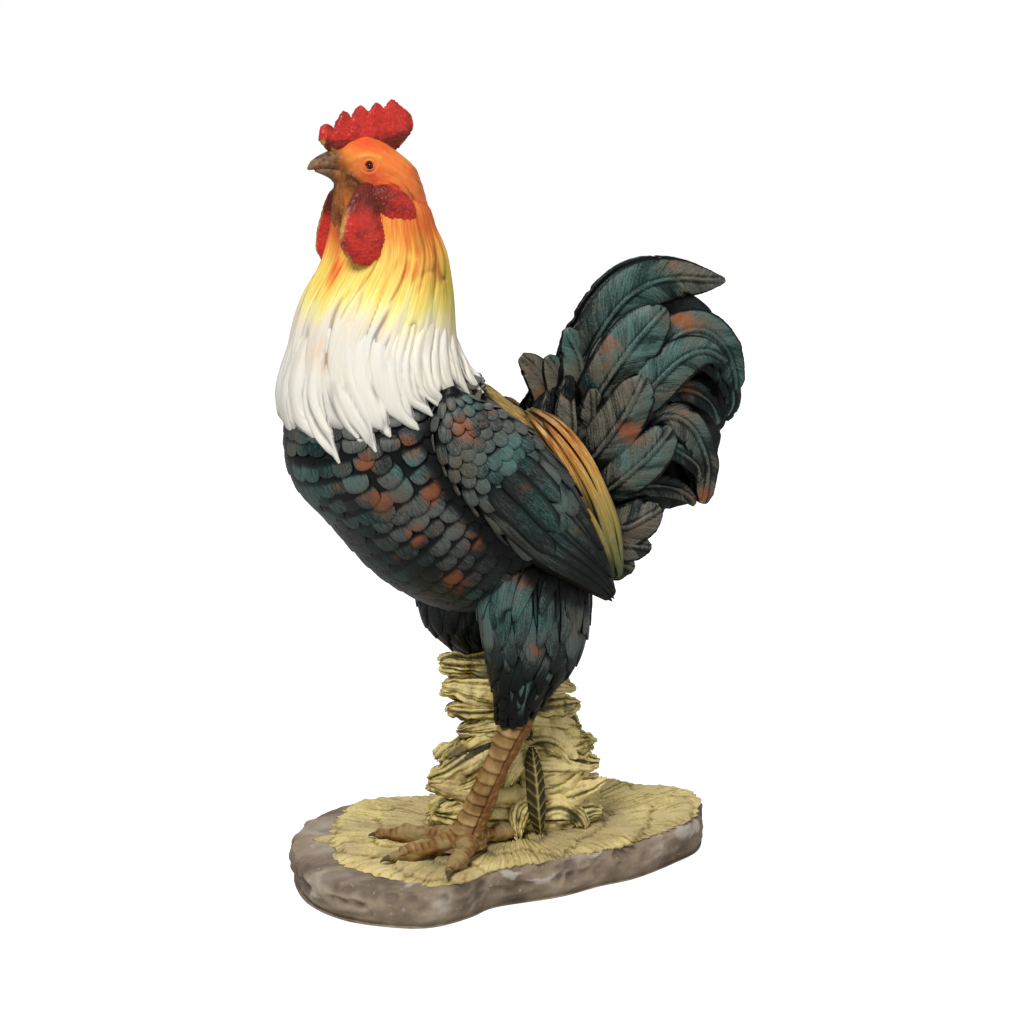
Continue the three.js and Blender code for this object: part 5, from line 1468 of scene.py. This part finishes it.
for node, (facing, rows) in flaps.items():
    flap = swept(rows, facing, flap_steps, flap_turn)
    flap_skin, deep = pebbled(flap, size=2.1, seed=103)
    rim = step(np.abs(np.cos(flap_turn)), 0.9, 0.97) * step(-np.sin(flap_turn), -0.5, -0.2)
    ends = np.linspace(0, 1, flap_steps)[:, None]
    # Wattles dark at the top, partly painted shade under the beak; earlobes darker at their front ends.
    dark = step(-ends, -0.46, -0.08) * 0.85 if "wattle" in node else step(-ends, -0.7, 0.0) * 0.5
    ochre = np.clip(rim + step(ends, 0.95, 0.985), 0, 1) * step(ends, 0.2, 0.5) * 0.95
    ochre = ochre * step(rough(flap, 7.0, 105), -0.5, 0.1)
    flap_piece = model(
        node + "_pebbled", [(flap_skin, {"low": deep, "dark": dark, "ochre": ochre})], red_finish)
    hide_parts(node)

# Eyes.
# Each eye is a small round bead, cast in a shallow socket of the face inside a ring of skin. It is
# painted gloss black, so that it catches the light.

eye_finish = Finish("gloss_black", coat_weight=0.6)
eye_tone = eye_finish.speckle(300.0)
eye_colour = eye_finish.over((0.004, 0.004, 0.004), (0.02, 0.012, 0.008), eye_finish.fade(eye_tone, 0.4, 0.7))
eye_finish.coat(eye_colour, eye_finish.fade(eye_tone, 0.3, 0.7, 0.06, 0.14))
bead_radius, bead_out = 2.2, 24.0
for node, side in (("left_eye", -1.0), ("right_eye", 1.0)):
    fall = np.linspace(0.03, np.pi - 0.03, 48)[:, None]
    turn = full_turn(64)[None, :]
    ball = together(np.sin(fall) * np.cos(turn), np.sin(fall) * np.sin(turn), np.cos(fall))
    eye_piece = model(
        node + "_bead", [(ball * bead_radius + (eye_place[0], bead_out * side, eye_place[2]), {})],
        eye_finish)
    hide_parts(node)

# Tail root.
# The rounded mound over the rump that the tail springs from, cast in one with the body. The tail's
# lowest feathers cover it, and it is painted almost black.

tail_finish = plumage("painted_tail", (0.004, 0.008, 0.007), (0.190, 0.155, 0.112))
tail_rust = [
    (79, -35, 420, 10, 1.0), (128, -20, 441, 11, 0.9), (127, -35, 407, 12, 1.0), (80, -45, 329, 11, 1.0),
    (138, -25, 357, 13, 0.9), (48, -18, 352, 12, 0.8), (144, -33, 273, 10, 1.0), (67, -30, 387, 13, 0.7),
    (29, -10, 382, 14, 0.6), (34, -14, 350, 14, 0.5), (125, -35, 330, 10, 0.5), (100, -42, 350, 8, 0.5)]
tail_teal = [
    (75, -30, 401, 26, 1.0), (106, -35, 388, 30, 1.0), (107, -40, 301, 24, 1.0), (95, -20, 432, 34, 1.0),
    (154, -25, 389, 34, 1.0), (44, -8, 388, 16, 0.8), (130, -36, 395, 24, 0.9), (95, -48, 345, 18, 0.8),
    (165, -20, 350, 30, 0.9), (60, -20, 360, 16, 0.5), (80, -42, 312, 16, 0.7), (140, -30, 320, 18, 0.6)]
# Painted shade in the tail's deep hollows, given as x, y, z, radius and strength.
tail_hollow_shadows = [
    (146, -28, 362, 15, 0.7), (158, -24, 346, 15, 0.75), (132, -30, 352, 11, 0.55), (118, -30, 288, 13, 0.7),
    (132, -26, 296, 13, 0.7), (148, -20, 312, 15, 0.6), (52, -16, 326, 8, 0.5)]
root_rows = [
    (34, 0, 299, 36, 22), (52, 0, 308, 49, 29), (76, 0, 318, 46, 25), (98, 0, 328, 28, 14),
    (112, 0, 333, 10, 8)]
root_turn = full_turn(240)[None, :]
root_host = Host(swept(root_rows, (0, -1, 0), 160, root_turn), last_row=4)
root_skin = root_host.grid[::2, ::2]
root_low = 0.75 + 0.25 * np.abs(rough(root_skin, 16.0, 113))
root_piece = model(
    "tail_root_mound", [(root_skin, coat_marks(root_skin, root_low, 0.3, 0.0, 0.0, tail_rust, tail_teal))],
    tail_finish)
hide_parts("tail_root")

# Tail plate.
# The middle of the tail is one upright plate round a steel rod. It shows as dark folded feathers
# between the outer ones and along the tail's edge.

plate_outline = np.array([
    (10, 328), (30, 342), (46, 350), (60, 378), (82, 408), (112, 422), (140, 422), (164, 406), (178, 382),
    (184, 360), (183, 335), (177, 322), (172, 308), (170, 292), (165, 272), (150, 264), (128, 258),
    (108, 242), (90, 228), (62, 230), (40, 260)], float)
plate_loop = closed_line(plate_outline, steps=18)
plate_middle, plate_half = np.array([104.0, 328.0]), 7.4
across = np.linspace(0, np.pi, 90)[:, None]
share = np.sin(across) ** 0.35
loop = plate_loop[None] - plate_middle
bearing = np.arctan2(loop[..., 1], loop[..., 0])
reach = np.linalg.norm(loop, axis=-1)
teeth = np.exp(-((((bearing * 9 / np.pi) % 1) - 0.5) / 0.08) ** 2)
fan_fold = grain(together(bearing * 4.2 + share * 1.3, share * 1.2, 0.5), 111)
fan_fine = grain(together(bearing * 17 + share * 2, share * 5, 0.5), 112)
scaled = share * (1 - 0.025 * teeth * step(share, 0.8, 1.0))
plate_grid = together(
    plate_middle[0] + loop[..., 0] * scaled, -plate_half * np.cos(across),
    plate_middle[1] + loop[..., 1] * scaled)
plate_cleft = np.exp(-(fan_fold / 0.12) ** 2)
plate_rise = ((np.abs(fan_fold) - 0.3) * 3.0 + fan_fine * 0.5 - plate_cleft * 1.2) * step(share, 0.1, 0.5)
plate_grid = plate_grid + outward(plate_grid) * (
    plate_rise * step(np.abs(np.cos(across)), 0.0, 0.3))[..., None]
# The plate is painted dark, darker in its folds: painted shade between the outer feathers.
plate_piece = model("tail_plate_feathers", [(plate_grid, coat_marks(
    plate_grid, np.clip(0.45 + 0.5 * plate_cleft, 0, 1), 0.3, bearing * 60, reach * share, tail_rust,
    tail_teal))], tail_finish)
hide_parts("tail_main_feathers")

# Tail feathers.
# The outer feathers of the tail stand in layers on both faces of the plate, cast in one with it. Each
# has a raised quill, slanting barbs and an edge that is split here and there.

face_lines, feather_steps = 31, 92
barb_slant, barb_breadth = 1.05, 0.55
tail_behind = np.array([
    (0.96, 0, 0.5), (0.72, 0, 0.7), (0.60, 0.30, 0.9), (0.78, 0.36, 0.25), (0.74, 0.50, 0.4),
    (0.46, 0.54, 0.9), (0.62, 0.66, 0.25), (0.56, 0.80, 0.4), (0.36, 0.84, 0.9), (0.34, 1.0, 0.6)])


def tail_feather(rows, facing, seed, inner, barb=2.4, tooth=1.0, camber=0.26, rubbed=0.4):
    """A thick feather. Its outer face is the path + half width * c across it, for c from -1 to 1,
    + camber * half width * (1 - c^2) out of it. Barbs run out from the quill at 45 degrees.
    Its back is up to 8.4 mm behind the face, and two smaller edges step in from there to the plane
    y = inner."""
    line = along_rows(rows, np.linspace(0, len(rows) - 1, feather_steps))
    ahead = np.gradient(line[:, :3], axis=0)
    along = np.cumsum(np.linalg.norm(ahead, axis=1))[:, None]
    ahead = unit(ahead)
    over = unit(np.cross(facing, ahead))
    out = np.cross(ahead, over)
    behind = np.concatenate([tail_behind, tail_behind[::-1] * (-1, 1, 1)]).T
    c, back, shade = np.concatenate([together(np.linspace(-1, 1, face_lines), 0, 0).T, behind], 1)[:, None]
    outer = np.arange(c.size)[None, :] < face_lines
    half = line[:, 3:4]
    side = np.abs(c) * half
    slant = along - side * barb_slant
    wave = grain(together(slant / (barb * barb_breadth), np.sign(c) * 2.0, seed + 0.5), seed)
    broad = grain(together(slant / (barb * 3.0), np.sign(c) * 2.0, seed + 0.5), seed + 1)
    split = step(grain(together(slant / 6.5, np.sign(c) * 5.0, seed + 0.5), seed + 2), 0.5, 0.66)
    split = split * step(np.abs(c), 0.62, 0.95) * step(half, 2.0, 6.0)
    rim = step(np.abs(c), 0.8, 1.0)
    width = half * (1 - 0.10 * split * rim * tooth) + tooth * wave * 0.22 * rim
    quill = np.exp(-(c * half / 1.0) ** 2) * step(half, 2.0, 5.0)
    beside = np.exp(-((np.abs(c) * half - 2.3) / 1.0) ** 2) * step(half, 2.0, 5.0)
    rise = camber * half * (1 - c**2) - camber * half * 0.6 + quill * 1.3 - beside * 0.5 + (
        wave * 0.22 + broad * 1.2) * step(np.abs(c), 0.05, 0.5) - split * 1.8
    face = line[:, None, :3] + over[:, None] * (width * c)[..., None] + out[:, None] * rise[..., None]
    body = np.clip(
        0.8 * (inner - line[:, 1:2]), 1.2, 2.4 + 6.0 * (1 - c**2)) * (0.3 + 0.7 * step(half, 2.0, 8.0))
    under = face - out[:, None] * body[..., None]
    keel = line[:, None, :3] + over[:, None] * (width * c * (1 + 0.14 * broad))[..., None]
    keel[..., 1] = inner
    grid = np.where(outer[..., None], face, under + (keel - under) * back[..., None])
    # Dark at edges, splits, roots and in bands across the barbs: partly a dark wash, partly painted shade.
    edge = step(np.abs(c), 0.84, 1.0)
    low = np.where(outer, np.clip(
        split * 0.9 + edge + step(-broad, 0.1, 0.8) * 0.15 + beside * 0.3 + step(-wave, 0.3, 0.9) * 0.08
        + step(-along / along[-1], -0.45, -0.05) * 0.7 - quill * 0.5 + daubs(grid, tail_hollow_shadows),
        0, 1), shade)
    return grid, coat_marks(grid, low, rubbed + 0.4 * broad, slant * 0.5, side, tail_rust, tail_teal)


front_feathers = {
    "tail_front_feather_1": [
        (46, 10, 318, 14), (43, 11, 344, 15), (36, 12, 360, 13.5), (27, 13, 371, 10), (19, 13, 378, 4)],
    "tail_front_feather_2": [
        (50, 4, 318, 14), (50, 3, 346, 15), (46, 3, 361, 14), (40, 3, 371, 10), (35, 3, 378, 4)],
    "tail_front_feather_3": [
        (52, -5, 318, 14), (58, -8, 350, 18), (57, -9, 373, 17), (51, -9, 388, 12.5), (45, -9, 399, 4)]}
for seed, (node, rows) in enumerate(front_feathers.items()):
    # rubbed=1.0 paints the front feathers paler: painted light where they face away from the lamps.
    grid, marks = tail_feather(
        rows, (0.1, -1, 0.2), 120 + 5 * seed, rows[1][1] + 4.0, barb=3.4, tooth=0.4, camber=0.16, rubbed=1.0)
    feather_piece = model(node + "_barbed", [(grid, marks)], tail_finish)
    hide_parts(node)

side_feathers = {
    "top_sickle": ((0.1, -1, 0.15), [
        (46, -6, 338, 11), (62, -8, 380, 18), (83, -10, 412, 20), (105, -11, 428, 19), (130, -11, 432, 15.5),
        (152, -10, 430, 10), (166, -8, 429, 4.5), (171, -8, 429, 1.5)]),
    "second_sickle": ((-0.1, -1, 0.25), [
        (46, -14, 322, 11), (61, -25, 351, 17), (76, -34, 378, 20), (91, -37, 397, 19), (103, -38, 409, 13),
        (109, -38, 415, 4)]),
    "arch_sickle": ((0, -1, 0.2), [
        (50, -12, 314, 9), (92, -28, 366, 14), (119, -33, 393, 16), (143, -32, 396, 15.5),
        (163, -27, 380, 14.5), (173, -22, 360, 10), (174, -22, 350, 4)]),
    "inner_sickle": ((0, -1, 0.2), [
        (54, -14, 306, 11), (92, -36, 352, 17), (118, -42, 377, 16), (138, -41, 383, 11),
        (156, -35, 376, 4.5), (160, -34, 372, 1.5)]),
    "lower_sickle": ((0, -1, 0.2), [
        (60, -14, 282, 9), (92, -28, 320, 12), (112, -36, 336, 12.5), (132, -37, 326, 12.5),
        (146, -33, 300, 11), (148, -28, 277, 7.5), (146, -27, 268, 3)]),
    "quill_covert": (
        (-0.2, -1, 0.2),
        [(48, -16, 292, 11), (62, -34, 318, 18), (74, -44, 340, 18), (83, -49, 359, 14), (88, -49, 369, 4)]),
    "side_covert": ((-0.1, -1, 0.2), [
        (58, -16, 272, 11), (74, -36, 291, 16), (92, -47, 310, 16.5), (104, -51, 325, 11.5),
        (109, -51, 331, 3)]),
    "low_covert": (
        (0, -1, 0.1), [(54, -14, 252, 10), (78, -38, 258, 16), (94, -44, 266, 14), (104, -44, 271, 5)]),
    "vent_covert": (
        (0, -1, 0), [(54, -14, 238, 9), (68, -32, 234, 14), (80, -38, 229, 11), (86, -38, 226, 3)])}
small_feathers = {
    "quill_covert": [
        ((0.2, -1, 0.2), [
            (40, -22, 310, 12), (42, -30, 328, 16), (43, -27, 344, 15), (43, -22, 358, 10),
            (42, -18, 368, 3)]),
        ((0.3, -1, 0.2), [
            (28, -18, 306, 10), (28, -24, 322, 13), (30, -20, 336, 12), (31, -14, 349, 8),
            (30, -11, 357, 2.5)]),
        ((0.1, -1, 0.2), [(60, -20, 318, 8), (57, -31, 336, 12), (55, -35, 349, 10), (54, -36, 360, 3)])],
    "second_sickle": [
        ((0, -1, 0.2), [(48, -10, 330, 8), (59, -20, 360, 8), (64, -24, 383, 7), (66, -24, 394, 2)])],
    "lower_sickle": [
        ((0, -1, 0.2), [
            (80, -20, 300, 8), (104, -33, 316, 8), (123, -36, 309, 7), (137, -34, 298, 6),
            (141, -32, 287, 2)]),
        ((0, -1, 0.2), [(70, -14, 275, 8), (100, -24, 284, 9), (126, -26, 280, 8), (142, -24, 268, 3)])],
    "arch_sickle": [
        ((0, -1, 0.2), [
            (120, -16, 380, 9), (150, -22, 375, 10), (168, -20, 358, 9), (174, -18, 340, 7),
            (168, -17, 327, 3)]),
        ((0, -1, 0.2), [(100, -12, 340, 8), (130, -20, 352, 9), (152, -20, 343, 8), (164, -16, 325, 3)])],
    "low_covert": [
        ((0, -1, 0.1), [(52, -14, 246, 9), (74, -36, 246, 13), (90, -40, 243, 10), (99, -40, 241, 3)])]}
for seed, (name, (facing, rows)) in enumerate(side_feathers.items()):
    skins = [tail_feather(rows, facing, 140 + 5 * seed, inner=-6.0)]
    for extra, (turned, path) in enumerate(small_feathers.get(name, [])):
        skins.append(tail_feather(
            path, turned, 300 + 10 * seed + extra, path[1][1] + 3.5, barb=3.0, tooth=0.6, camber=0.2))
    for side, mirror in both_sides.items():
        feather_piece = model(f"tail_{side}_{name}_barbed", mirrored(skins, mirror), tail_finish)
        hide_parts(f"tail_{side}_{name}")

# Steel rods.
# Plain round bars that reinforce the legs, the neck and the tail. They are cast in, dull grey with
# a little rust, and nothing of them shows.

rod_finish = Finish("bare_steel", metallic=1.0)
rod_patch = rod_finish.speckle(180.0, 4.0)
rod_colour = rod_finish.over(
    (0.30, 0.30, 0.31), (0.20, 0.09, 0.04), rod_finish.fade(rod_patch, 0.5, 0.7, 0.0, 0.8))
rod_finish.coat(rod_colour, rod_finish.fade(rod_patch, 0.3, 0.7, 0.4, 0.7), rod_patch, 0.0002)
for node in ("left_leg_rod", "right_leg_rod", "neck_rod", "tail_rod"):
    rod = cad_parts[node]
    rod.data.materials.clear()
    rod.data.materials.append(rod_finish.material)
